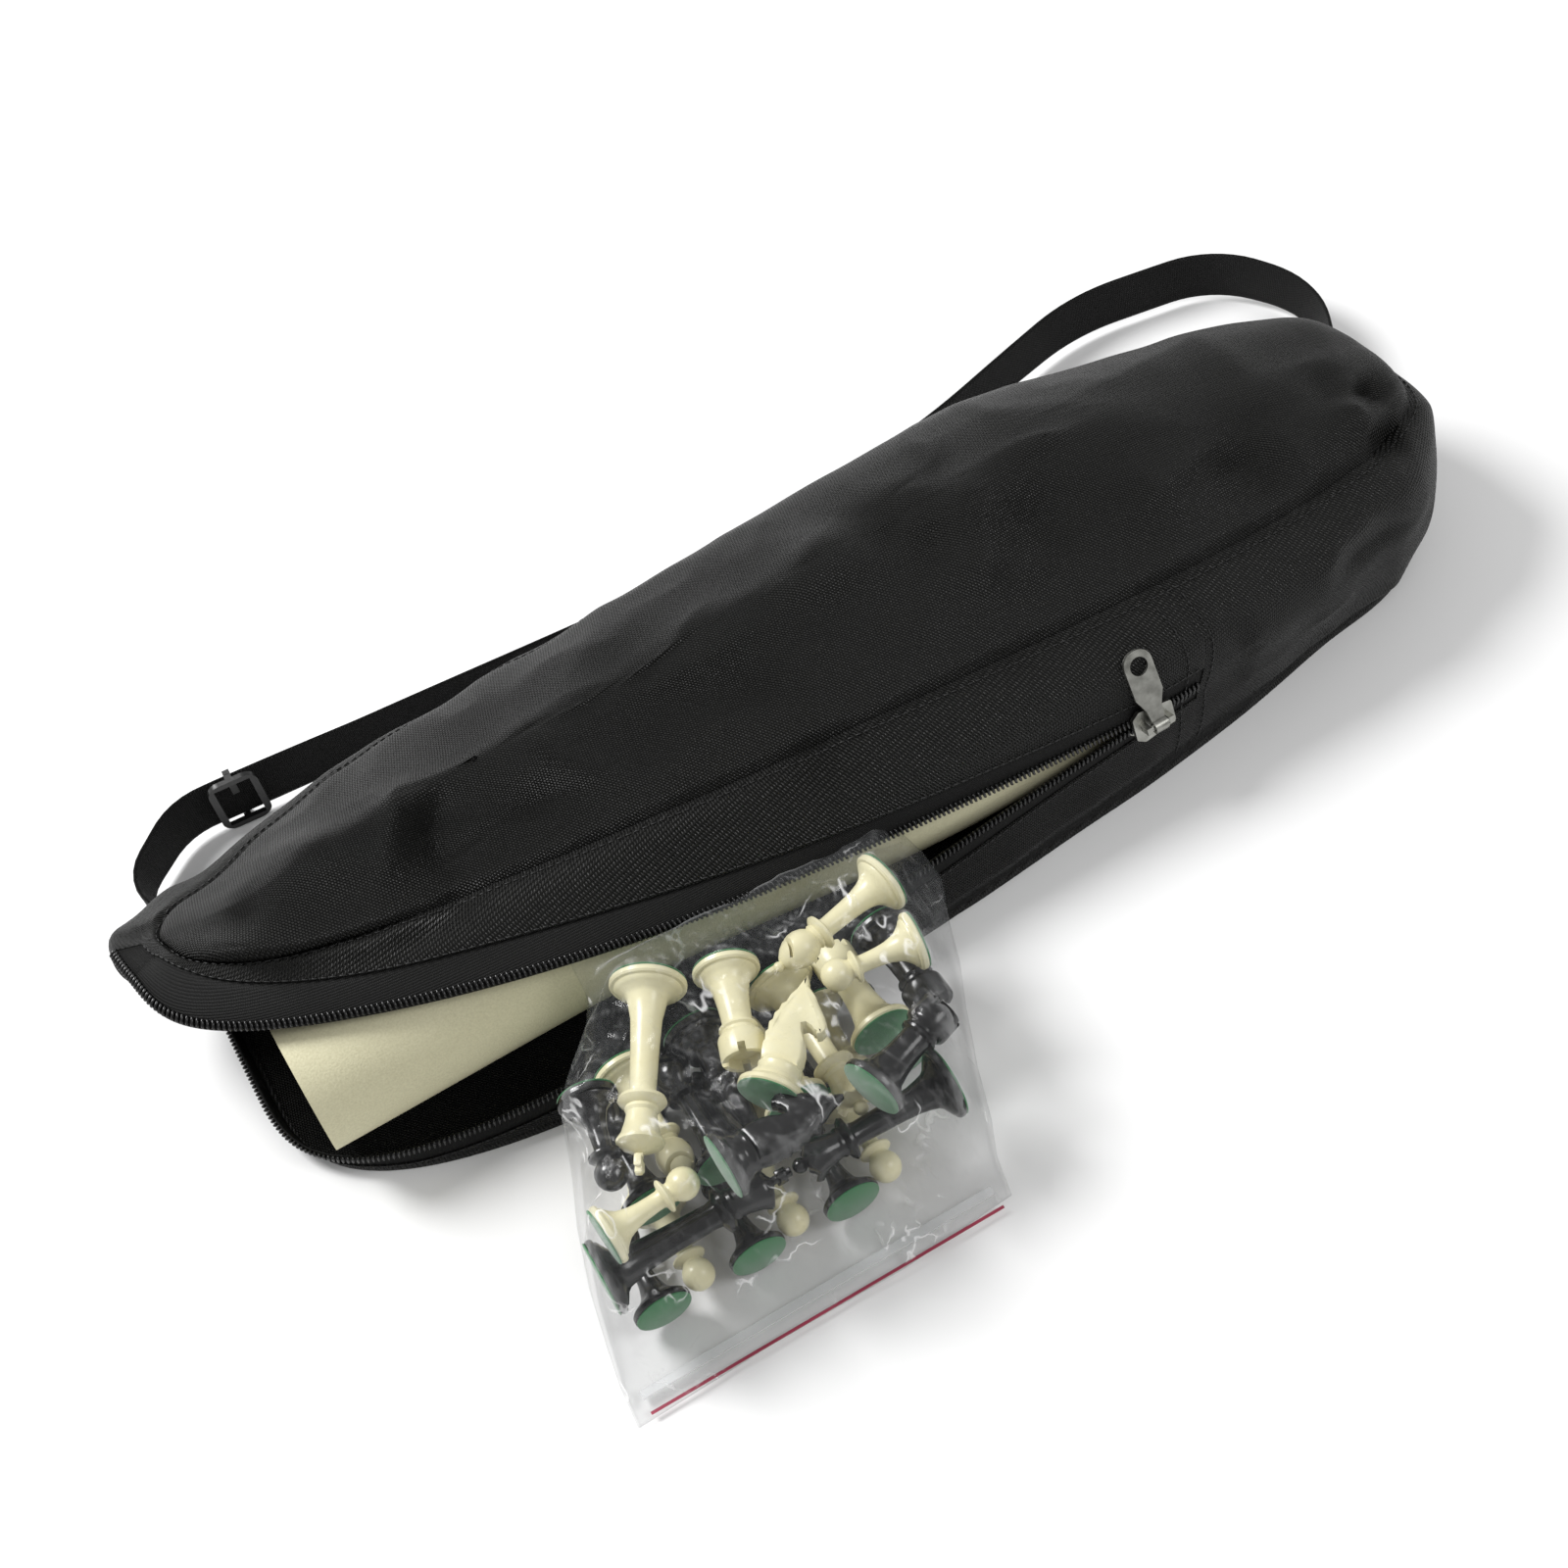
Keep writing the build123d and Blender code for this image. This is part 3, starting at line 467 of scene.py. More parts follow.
front_angles = even_angles(-180, 0)
back_angles = even_angles(0, 180)
angles = np.concatenate((front_angles[:-1], back_angles[:-1]))
columns = len(angles)
mid_x, mid_y = outline_at(np.full(columns, 0.45), angles)
steps = np.hypot(np.diff(np.append(mid_x, mid_x[0])), np.diff(np.append(mid_y, mid_y[0])))
along_skin = np.concatenate(([0], np.cumsum(steps)[:-1]))
print("skin columns", columns, "perimeter in mm", round(steps.sum() / MM))

# %% Rows of the wall: bands, tapes, coils and the mouth between them


def upper_edge(x):
    return slider_z + upper_coil_rise * np.maximum(slider_x - x, 0)


def lower_edge(x):
    return slider_z - lower_coil_drop * np.maximum(slider_x - x, 0)


tape_stop = coil_width + tape_show
wall_parts = (("band_lower", 8), ("tape_lower", 2), ("coil_lower", 1), ("mouth", 10), ("coil_upper", 1), ("tape_upper", 2), ("band_upper", 12))
zoned = (mid_x < zip_end_x) & (mid_y < zip_back_y)
zone_first = columns - int(np.argmin(zoned[::-1])) if zoned[0] and zoned[-1] else int(np.argmax(zoned))
zone_columns = [c for c in range(-columns, columns) if zoned[c % columns]]
zone_start = min(c for c in range(-columns, 1) if all(zoned[k % columns] for k in range(c, 1)))
zone_stop = max(c for c in range(0, columns) if all(zoned[k] for k in range(0, c + 1)))


def bounds_of_rows(x):
    """Heights between the parts of the wall in the zipped stretch."""
    seam_top = top_seam_mid_z + top_seam_slope * x
    low = lower_edge(x)
    high = upper_edge(x)
    rows = [np.full_like(x, bottom_seam_z), low - tape_stop, low - coil_width, low, high, high + coil_width, high + tape_stop, seam_top]
    least = 0.35 * MM
    for k in range(1, 4):
        rows[k] = np.maximum(rows[k], rows[k - 1] + (least if k > 1 else least * 2))
    for k in range(6, 3, -1):
        rows[k] = np.minimum(rows[k], rows[k + 1] - (least if k < 6 else least * 6))
    return np.stack(rows)


row_counts = [count for _, count in wall_parts]
zip_marks = bounds_of_rows(mid_x)
even_share = np.concatenate(([0], np.cumsum(row_counts))) / sum(row_counts)
even_marks = bottom_seam_z + even_share[:, None] * (top_seam_mid_z + top_seam_slope * mid_x - bottom_seam_z)[None, :]
right_marks = bounds_of_rows(np.full(columns, zip_end_x))
right_marks = bottom_seam_z + (right_marks - bottom_seam_z) * ((zip_marks[-1] - bottom_seam_z) / (right_marks[-1] - bottom_seam_z))[None, :]
relax_columns = 24
marks = np.zeros_like(zip_marks)
for c in range(columns):
    signed = c if c <= (zone_stop + columns + zone_start) // 2 else c - columns
    if zone_start <= signed <= zone_stop:
        marks[:, c] = zip_marks[:, c]
    elif signed > zone_stop:
        part = ease((signed - zone_stop) / relax_columns)
        marks[:, c] = right_marks[:, c] * (1 - part) + even_marks[:, c] * part
    else:
        part = ease((zone_start - signed) / relax_columns)
        edge = zip_marks[:, zone_start % columns]
        edge = bottom_seam_z + (edge - bottom_seam_z) * (zip_marks[-1, c] - bottom_seam_z) / (edge[-1] - bottom_seam_z)
        marks[:, c] = edge * (1 - part) + even_marks[:, c] * part

wall_rows = [marks[0]]
for k, count in enumerate(row_counts):
    for step in range(1, count + 1):
        wall_rows.append(marks[k] + (marks[k + 1] - marks[k]) * step / count)
wall_rows = np.array(wall_rows)
row_at = np.concatenate(([0], np.cumsum(row_counts)))
print("zip columns", zone_start, "to", zone_stop, "wall rows", len(wall_rows))

# %% All rows of the skin, from the middle of the underside to the middle of the top
top_rings = 30
cap_rings = 3
bottom_rings = 10


def skin_row(heights):
    x, y = outline_at(heights / pouch_height, angles)
    return np.stack((x, y, heights), axis=1)


def ring_towards_middle(row, share, reach_x):
    """Part of the way from an outline to the line along its middle."""
    middle_x = np.clip(row[:, 0], -reach_x, reach_x)
    middle_y = (row[:side_columns].min(0)[1] + row[side_columns:].max(0)[1]) / 2
    result = row.copy()
    result[:, 0] += (middle_x - row[:, 0]) * share
    result[:, 1] += (middle_y - row[:, 1]) * share
    return result


skin = []
floor_row = skin_row(np.zeros(columns))
for ring in range(bottom_rings, 0, -1):
    row = ring_towards_middle(floor_row, ring / bottom_rings * 0.985, 180 * MM)
    skin.append(row)
skin.append(floor_row)
first_wall_row = len(skin)
for heights in wall_rows:
    skin.append(skin_row(heights))
seam_row = len(skin) - 1
for ring in range(1, top_rings + 1):
    climb = (ring / top_rings) ** 0.92
    heights = wall_rows[-1] + (pouch_height - wall_rows[-1]) * climb
    skin.append(skin_row(heights))
cap_row = skin[-1]
for ring in range(1, cap_rings + 1):
    row = ring_towards_middle(cap_row, ring / cap_rings * 0.93, 108 * MM)
    row[:, 2] += 1.2 * MM * (1 - (1 - ring / cap_rings) ** 2)
    skin.append(row)
skin = np.array(skin)
print("skin rows", skin.shape[0], "points", skin.shape[0] * skin.shape[1])


def skin_normals(points):
    around = np.roll(points, -1, axis=1) - np.roll(points, 1, axis=1)
    up = np.empty_like(points)
    up[1:-1] = points[2:] - points[:-2]
    up[0], up[-1] = points[1] - points[0], points[-1] - points[-2]
    normal = np.cross(around, up)
    return normal / np.maximum(np.linalg.norm(normal, axis=2, keepdims=True), 1e-12)


# %% [markdown]
# Folds give the cloth its character. Each fold is a line drawn through pixels of the photograph.
# A ray through each pixel meets the skin, and the skin near the line rises or sinks.

# %% Folds by line of sight
def skin_tree(points):
    rows, cols = points.shape[:2]
    faces = [(r * cols + c, r * cols + (c + 1) % cols, (r + 1) * cols + (c + 1) % cols, (r + 1) * cols + c)
             for r in range(rows - 1) for c in range(cols)]
    return BVHTree.FromPolygons([Vector(p) for p in points.reshape(-1, 3)], faces)


form_tree = skin_tree(skin)


def seen_on_skin(pixels):
    places = []
    for pixel in pixels:
        start, way = photo_ray(pixel)
        hit = form_tree.ray_cast(start, way)[0]
        if hit is not None:
            places.append(np.array(hit))
    return np.array(places)


def distance_to_line(points, line):
    """Distance of each point to a run of straight stretches, and its share of the run's length."""
    best = np.full(points.shape[:-1], np.inf)
    share = np.zeros(points.shape[:-1])
    lengths = np.linalg.norm(np.diff(line, axis=0), axis=1)
    total = max(lengths.sum(), 1e-9)
    gone = 0.0
    for start, end, length in zip(line[:-1], line[1:], lengths):
        way = end - start
        t = np.clip(((points - start) @ way) / max(length * length, 1e-12), 0, 1)
        away = np.linalg.norm(points - (start + t[..., None] * way), axis=-1)
        nearer = away < best
        best = np.where(nearer, away, best)
        share = np.where(nearer, (gone + t * length) / total, share)
        gone += length
    return best, share


def fold(pixels, width, height, sharpness=1.5, taper=0.35):
    """How far the skin rises near a line seen in the photograph: height is below 0 for a valley."""
    line = seen_on_skin(pixels)
    if len(line) < 2:
        print("a fold missed the skin:", pixels[0])
        return 0.0
    away, share = distance_to_line(skin, line)
    ends = ease(share / taper) * ease((1 - share) / taper) if taper else 1.0
    return height * np.exp(-((away / width) ** sharpness)) * ends


# pixels along the fold, width and height in mm, sharpness, taper
fold_lines = (
    ([(965, 400), (978, 470), (1000, 560), (1010, 640)], 11, 6.0, 1.0, 0.4),
    ([(940, 420), (915, 500), (900, 570)], 9, -4.0, 1.2, 0.4),
    ([(900, 430), (860, 520), (800, 620)], 14, 5.0, 1.1, 0.5),
    ([(1010, 440), (1060, 520), (1090, 560), (1140, 590)], 15, -5.0, 1.2, 0.5),
    ([(960, 440), (950, 540), (930, 640)], 7, -4.0, 1.1, 0.4),
    ([(1120, 560), (1200, 480), (1271, 415)], 12, 6.0, 1.0, 0.45),
    ([(1271, 415), (1310, 450), (1345, 500)], 10, 5.0, 1.0, 0.45),
    ([(1230, 500), (1280, 460), (1305, 520)], 13, -5.5, 1.2, 0.4),
    ([(1380, 380), (1420, 410), (1466, 440)], 7, -6.5, 1.1, 0.3),
    ([(1390, 450), (1430, 440), (1468, 448)], 5, -5.5, 1.1, 0.25),
    ([(1350, 400), (1390, 430), (1400, 460)], 8, 5.0, 1.1, 0.4),
    ([(1330, 345), (1360, 390), (1375, 430)], 9, -3.5, 1.2, 0.4),
    ([(430, 740), (410, 800), (400, 850), (395, 900)], 8, 6.5, 1.1, 0.45),
    ([(450, 760), (435, 830), (450, 880), (500, 900)], 9, -7.0, 1.1, 0.4),
    ([(520, 690), (560, 760), (640, 800)], 11, 4.5, 1.1, 0.5),
    ([(470, 850), (560, 800), (640, 800)], 12, -4.5, 1.2, 0.5),
    ([(340, 790), (330, 860), (345, 930)], 14, 3.5, 1.3, 0.5),
    ([(260, 860), (250, 920), (262, 960)], 10, -3.0, 1.3, 0.5),
    ([(500, 900), (440, 950), (400, 985), (350, 1000)], 6, -8.0, 1.1, 0.25),
    ([(350, 1000), (300, 1000), (250, 998)], 6, -5.0, 1.1, 0.4),
    ([(180, 960), (230, 960), (300, 975), (380, 965), (430, 930), (480, 885)], 9, 8.0, 1.3, 0.3),
    ([(520, 900), (500, 960), (440, 1010), (360, 1030)], 9, 3.5, 1.4, 0.4),
    ([(640, 880), (600, 940), (560, 1000)], 12, 3.5, 1.3, 0.5),
    ([(700, 640), (780, 690), (850, 720)], 16, -4.5, 1.3, 0.5),
    ([(760, 560), (700, 620), (660, 700)], 14, 4.5, 1.1, 0.5),
    ([(820, 740), (850, 800), (860, 830)], 12, -3.5, 1.3, 0.5),
    ([(1466, 451), (1410, 516), (1363, 554), (1334, 597)], 5, 5.0, 1.0, 0.3),
    ([(1450, 520), (1400, 560), (1350, 600)], 8, -5.0, 1.1, 0.4),
    ([(1450, 570), (1400, 600), (1330, 660)], 9, 3.5, 1.1, 0.4),
)


def crumple(points, size, depth, seed):
    """Soft unevenness, with ridges rather than bumps."""
    shift = Vector((seed * 7.3, seed * 3.1, seed * 5.7))
    flat = points.reshape(-1, 3)
    values = np.array([1 - 2 * abs(noise.noise(Vector(p) / size + shift)) for p in flat])
    return depth * values.reshape(points.shape[:-1])


raised = np.zeros(skin.shape[:2])
for pixels, width, height, sharpness, taper in fold_lines:
    raised = raised + fold(pixels, width * MM, height * MM, sharpness, taper)
raised += crumple(skin, 75 * MM, 2.6 * MM, 1) + crumple(skin, 30 * MM, 1.1 * MM, 2)
raised *= ease((skin[..., 0] + 246 * MM) / (36 * MM))

row_number = np.arange(skin.shape[0])[:, None]
coil_distance = np.minimum(np.abs(skin[..., 2] - upper_edge(skin[..., 0])), np.abs(skin[..., 2] - lower_edge(skin[..., 0])))
in_zip = (skin[..., 0] < zip_end_x + 20 * MM) & (skin[..., 1] < zip_back_y + 10 * MM)
calm = np.where(in_zip & (row_number <= seam_row), ease((coil_distance - 6 * MM) / (16 * MM)), 1.0)
between_coils = in_zip & (skin[..., 2] < upper_edge(skin[..., 0])) & (skin[..., 2] > lower_edge(skin[..., 0]))
calm = np.where(between_coils, 0.0, calm)
calm = np.where(row_number < first_wall_row + 2, 0.0, calm)
seam_dip = -1.8 * MM * np.exp(-((row_number - seam_row) / 1.3) ** 2)
skin_out = skin + skin_normals(skin) * (raised * calm + seam_dip)[..., None]

# %% [markdown]
# The contents sag, so the top of the bag lies lower than its sewn form. The photograph's outline says
# by how much: the skin is drawn towards it, most at the back, and not at all at the zip.

# %% Sagging to the outline in the photograph
top_outline = np.array((
    (119, 965), (161, 921), (350, 775), (850, 480), (983, 406), (1090, 377), (1218, 338), (1274, 324), (1327, 330),
    (1368, 340), (1391, 345), (1428, 358), (1447, 377), (1475, 419),
))
front_outline = np.array(((350, 1187), (433, 1170), (605, 1140), (947, 955), (1225, 765), (1426, 597), (1458, 568)))
view_turn = np.array(camera.rotation_quaternion.to_matrix())
view_eye = np.array(camera.location)
pixels_per_metre = focal_pixels / camera_distance


def in_photo(points):
    local = (points - view_eye) @ view_turn
    return photo_size / 2 + focal_pixels * local[..., 0] / -local[..., 2], photo_size / 2 - focal_pixels * local[..., 1] / -local[..., 2]


def evened(values, spread):
    window = np.exp(-np.linspace(-2, 2, spread) ** 2)
    padded = np.concatenate((values[-spread:], values, values[:spread]))
    return np.convolve(padded, window / window.sum(), mode="same")[spread:-spread]


first_band_row = first_wall_row + row_at[6]
in_front = evened((zoned & (mid_y < -8 * MM)).astype(float), 21)[None, :]
climb = np.clip((row_number - first_band_row) / (seam_row - first_band_row), 0, 1) * in_front
climb = climb + ease((skin[..., 2] - 8 * MM) / (50 * MM)) * (1 - in_front)
at_left = 0.12 * ease((-120 * MM - skin[..., 0]) / (60 * MM))
start_y = -20 * MM + 24 * MM * ease((-120 * MM - skin[..., 0]) / (60 * MM))
behind = at_left + (1 - at_left) * ease((skin[..., 1] - start_y) / (60 * MM))
foot_share = ease((48 * MM - skin[..., 2]) / (46 * MM)) * ease((-skin[..., 1] - 8 * MM) / (30 * MM))
back_columns = np.arange(side_columns, columns)
front_columns = np.arange(4, side_columns - 4)
sag_places = np.linspace(-250, 250, 81) * MM
free_to_sag = (climb * behind)[:, back_columns] > 0.4
for _ in range(6):
    across, down = in_photo(skin_out)
    above = np.interp(across, *top_outline.T) - down
    highest = np.where(free_to_sag, above[:, back_columns], -1e3).argmax(0)
    gap = evened(np.clip(above[highest, back_columns], -8, 70), 13)
    nearness = np.exp(-((skin[highest, back_columns, 0] - sag_places[:, None]) / (14 * MM)) ** 2)
    sag = np.interp(skin[..., 0], sag_places, (nearness * gap).sum(1) / nearness.sum(1)) / pixels_per_metre
    skin_out = skin_out - (0.55 * sag * climb * behind)[..., None] * view_turn[:, 1]
    below = down - np.interp(across, *front_outline.T)
    lowest = below[:, front_columns].argmax(0)
    over = np.where(across[lowest, front_columns] > 900, np.clip(below[lowest, front_columns], 0, 45), 0)
    over = np.convolve(np.pad(over, 10, mode="edge"), np.ones(21) / 21, mode="valid")
    places = skin[lowest, front_columns, 0]
    order = np.argsort(places)
    tuck = np.interp(skin[..., 0], places[order], over[order]) / pixels_per_metre
    skin_out[..., 1] = skin_out[..., 1] + 0.6 * tuck * foot_share
skin_out[..., 2] = np.maximum(skin_out[..., 2], 0.0)
print("left to the outline in pixels:", [round(float(g)) for g in gap[::20]])
print("folds raise the skin from", round(raised.min() / MM, 1), "to", round(raised.max() / MM, 1), "mm")

# %% [markdown]
# The skin is parted into the sewn panels. Each panel is thickened inwards like real cloth.

# %% Panels
cloth_thickness = 0.9 * MM


def skin_uv(row, column):
    """Cloth coordinates: along and up on the wall, plan coordinates on the top and underside."""
    point = skin[row, column % columns]
    if first_wall_row < row <= seam_row:
        turn = columns if column >= columns else 0
        return along_skin[column % columns] + (steps.sum() if turn else 0), point[2]
    return point[0], point[1]


def wall_panel(name, first_row, last_row, first_column, last_column, body="pouch", material=None,
               replaced=(), inset=0.0, thickness=cloth_thickness, smooth_level=1):
    """A panel from a block of the skin's rows and columns; closed round the pouch if the columns say so."""
    closed = last_column - first_column >= columns
    column_list = list(range(first_column, last_column if closed else last_column + 1))
    row_list = list(range(first_row, last_row + 1))
    normals = skin_normals(skin_out)
    points = [skin_out[r, c % columns] - normals[r, c % columns] * inset for r in row_list for c in column_list]
    wide = len(column_list)
    faces = []
    for r in range(len(row_list) - 1):
        for c in range(wide if closed else wide - 1):
            right = (c + 1) % wide
            faces.append((r * wide + c, r * wide + right, (r + 1) * wide + right, (r + 1) * wide + c))
    if name == "panel_top" or name == "panel_bottom":
        edge = (len(row_list) - 1) * wide if name == "panel_top" else 0
        for c in range(1, side_columns):
            other = columns - c
            pair = (edge + c, edge + c - 1, edge + (other + 1) % columns, edge + other)
            faces.append(pair[::-1] if name == "panel_top" else pair)
    uv = [skin_uv(r if first_wall_row < r <= seam_row or name in ("panel_top", "panel_bottom") else r, c)
          for r in row_list for c in column_list]
    if name in ("panel_top", "panel_bottom"):
        uv = [(skin[r, c % columns][0], skin[r, c % columns][1]) for r in row_list for c in column_list]
    obj = make_piece(name, points, faces, material or nylon, body, replaced, uv, smooth_angle=0)
    for face in obj.data.polygons:
        face.use_smooth = True
    if smooth_level:
        softer = obj.modifiers.new("soft", "SUBSURF")
        softer.levels = softer.render_levels = smooth_level
        softer.boundary_smooth = "PRESERVE_CORNERS"
    thick = obj.modifiers.new("thick", "SOLIDIFY")
    thick.thickness = thickness
    thick.offset = -1.0
    apply_modifiers(obj)
    return obj


mark_row = first_wall_row + row_at
top_rows = skin.shape[0] - 1
panel_top = wall_panel("panel_top", seam_row, top_rows, 0, columns, replaced=("top_panel",))
panel_bottom = wall_panel("panel_bottom", 0, first_wall_row, 0, columns, replaced=("bottom_panel",), smooth_level=0)
back_first, back_last = zone_stop, columns + zone_start
cross_column = zone_stop
back_edge = int(np.argmax((mid_y >= zip_back_y) & (np.arange(columns) > zone_stop)))
gusset_front_piece = wall_panel("gusset_right", first_wall_row, seam_row, zone_stop, back_edge, replaced=("gusset_front",))
gusset_back_piece = wall_panel("gusset_rear", first_wall_row, seam_row, back_edge, back_last, replaced=("gusset_back",))
band_lower = wall_panel("band_below_zip", mark_row[0], mark_row[1], zone_start, zone_stop, replaced=("zip_band_lower",))
band_upper = wall_panel("band_above_zip", mark_row[6], mark_row[7], zone_start, zone_stop, replaced=("zip_band_upper",))
tape_lower = wall_panel("tape_below", mark_row[1], mark_row[3], zone_start, zone_stop, material=tape_cloth,
                        replaced=("zip_tape_lower",), inset=0.5 * MM, thickness=0.5 * MM)
tape_upper = wall_panel("tape_above", mark_row[4], mark_row[6], zone_start, zone_stop, material=tape_cloth,
                        replaced=("zip_tape_upper",), inset=0.5 * MM, thickness=0.5 * MM)
print("panel triangles", sum(len(o.data.polygons) * 2 for o in (panel_top, gusset_front_piece, gusset_back_piece, band_lower, band_upper)))

# %% Zip coils


def coil_line(mark_low, mark_high):
    """Middle line of a coil, its outward direction, and the way across it, at even steps."""
    low = skin_out[mark_low, [c % columns for c in range(zone_start, zone_stop + 1)]]
    high = skin_out[mark_high, [c % columns for c in range(zone_start, zone_stop + 1)]]
    middle = (low + high) / 2
    run = np.concatenate(([0], np.cumsum(np.linalg.norm(np.diff(middle, axis=0), axis=1))))
    count = int(run[-1] / tooth_pitch)
    at = (np.arange(count) + 0.5) * tooth_pitch
    centre = np.stack([np.interp(at, run, middle[:, k]) for k in range(3)], axis=1)
    across = np.stack([np.interp(at, run, (high - low)[:, k]) for k in range(3)], axis=1)
    along = np.gradient(centre, axis=0)
    along /= np.linalg.norm(along, axis=1, keepdims=True)
    across -= along * (across * along).sum(1, keepdims=True)
    across /= np.linalg.norm(across, axis=1, keepdims=True)
    return centre, along, across, np.cross(along, across)


tooth_pitch = 1.75 * MM
tooth_length = 3.6 * MM
tooth_width = 1.15 * MM
tooth_height = 1.9 * MM


def tooth_shape():
    """One turn of the coil: a short rounded bar, wider at its locking end."""
    clear_selection()
    bpy.ops.mesh.primitive_uv_sphere_add(segments=8, ring_count=4, radius=0.5, rotation=(0, math.pi / 2, 0))
    obj = bpy.context.active_object
    bpy.ops.object.transform_apply(location=False, rotation=True, scale=False)
    points = np.array([v.co for v in obj.data.vertices])
    faces = [tuple(p.vertices) for p in obj.data.polygons]
    bpy.data.objects.remove(obj)
    points = np.sign(points) * (np.abs(points) * 2) ** 0.75 / 2
    return points, faces


def make_coil(name, mark_low, mark_high, node, locking_way):
    centre, along, across, outward = coil_line(mark_low, mark_high)
    shape, shape_faces = tooth_shape()
    points, faces = [], []
    slant = 0.22
    for c, a, x, o in zip(centre, along, across * locking_way, outward):
        x_way = x + a * slant
        base = len(points)
        for p in shape:
            swell = 1.0 + 0.25 * max(p[0], 0)
            points.append(c + x_way * (p[0] * tooth_length + 0.5 * MM) + a * p[1] * tooth_width * swell
                          + o * (p[2] * tooth_height * swell + 0.25 * MM))
        faces.extend(tuple(base + k for k in face) for face in shape_faces)
    return make_piece(name, points, faces, coil_finish, "pouch", (node,), smooth_angle=60)


coil_lower = make_coil("coil_below", mark_row[2], mark_row[3], "zip_coil_lower", 1)
coil_upper = make_coil("coil_above", mark_row[4], mark_row[5], "zip_coil_upper", -1)
for coil in (coil_lower, coil_upper):
    clear_selection()
    coil.select_set(True)
    bpy.context.view_layer.objects.active = coil
    bpy.ops.object.mode_set(mode="EDIT")
    bpy.ops.mesh.select_all(action="SELECT")
    bpy.ops.mesh.normals_make_consistent(inside=False)
    bpy.ops.object.mode_set(mode="OBJECT")
print("teeth faces", len(coil_lower.data.polygons), len(coil_upper.data.polygons))

# %% [markdown]
# The men are turned and carved shapes. Each kind is modelled once, standing on the origin, and then
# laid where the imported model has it. Its felt says where its base is and which way it points.

# %% Turning on the lathe


def open_for_edit(obj):
    clear_selection()
    obj.select_set(True)
    bpy.context.view_layer.objects.active = obj
    bpy.ops.object.mode_set(mode="EDIT")
    bpy.ops.mesh.select_all(action="SELECT")


def close_shape():
    """Ends an edit: doubles are merged and every face points outwards."""
    bpy.ops.mesh.select_all(action="SELECT")
    bpy.ops.mesh.remove_doubles(threshold=0.01 * MM)
    bpy.ops.mesh.normals_make_consistent(inside=False)
    bpy.ops.object.mode_set(mode="OBJECT")


def turn_on_lathe(name, outline, segments=40):
    """An outline of radius and height in mm, spun about Z."""
    mesh = bpy.data.meshes.new(name)
    points = [(radius * MM, 0.0, height * MM) for radius, height in outline]
    mesh.from_pydata(points, [(k, k + 1) for k in range(len(points) - 1)], [])
    obj = bpy.data.objects.new(name, mesh)
    bpy.context.scene.collection.objects.link(obj)
    open_for_edit(obj)
    bpy.ops.mesh.spin(steps=segments, angle=2 * math.pi, center=(0, 0, 0), axis=(0, 0, 1))
    close_shape()
    return obj


def plate_from_outline(name, outline, thickness, rounding):
    """A flat outline of X and Z in mm, thickened along Y, with its edges rounded by two insets a side."""
    mesh = bpy.data.meshes.new(name)
    half = (thickness / 2 - rounding[1] * 2) * MM
    points = [(x * MM, -half, z * MM) for x, z in outline]
    mesh.from_pydata(points, [], [tuple(range(len(points)))])
    obj = bpy.data.objects.new(name, mesh)
    bpy.context.scene.collection.objects.link(obj)
    open_for_edit(obj)
    bpy.ops.mesh.extrude_region_move(TRANSFORM_OT_translate={"value": (0, 2 * half, 0)})
    close_shape()
    for side in (-1, 1):
        open_for_edit(obj)
        bpy.ops.mesh.select_all(action="DESELECT")
        bpy.ops.object.mode_set(mode="OBJECT")
        for face in obj.data.polygons:
            face.select = face.normal.y * side > 0.9
        bpy.ops.object.mode_set(mode="EDIT")
        for part in range(2):
            bpy.ops.mesh.inset(thickness=rounding[0] * MM * (0.5 + part), depth=rounding[1] * MM * (1.4 - 0.8 * part))
        bpy.ops.object.mode_set(mode="OBJECT")
    return obj


def cut_away(obj, *tools):
    """Takes the tools' shapes out of a piece, and removes the tools."""
    for tool in tools:
        cut = obj.modifiers.new("cut", "BOOLEAN")
        cut.operation = "DIFFERENCE"
        cut.object = tool
        cut.solver = "EXACT"
    apply_modifiers(obj)
    for tool in tools:
        bpy.data.objects.remove(tool)
    return obj


def join_shapes(*shapes):
    clear_selection()
    for shape in shapes:
        shape.select_set(True)
    bpy.context.view_layer.objects.active = shapes[0]
    bpy.ops.object.join()
    return shapes[0]


def cutting_box(size, place, tilt=0.0):
    clear_selection()
    bpy.ops.mesh.primitive_cube_add(size=1, location=[v * MM for v in place], rotation=(0, tilt, 0))
    box = bpy.context.active_object
    box.scale = [v * MM for v in size]
    bpy.ops.object.transform_apply(location=True, rotation=True, scale=True)
    return box


# %% Pawn, rook and bishop
def foot(radius, waist):
    """The moulded foot that all the men share: a rounded plinth, a step and a cove."""
    return [
        (0, 0.7), (radius - 0.5, 0.7), (radius, 1.2), (radius, 2.5), (radius - 0.5, 3.1), (radius - 1.5, 3.3),
        (radius - 1.8, 4.0), (radius - 2.9, 4.7), (waist + 1.5, 5.9), (waist + 0.5, 7.2),
    ]


def ball(radius, middle, start, stop, count):
    """Part of a round head, from one angle below its middle to another above."""
    places = np.radians(np.linspace(start, stop, count))
    return [(radius * math.cos(a), middle + radius * math.sin(a)) for a in places]


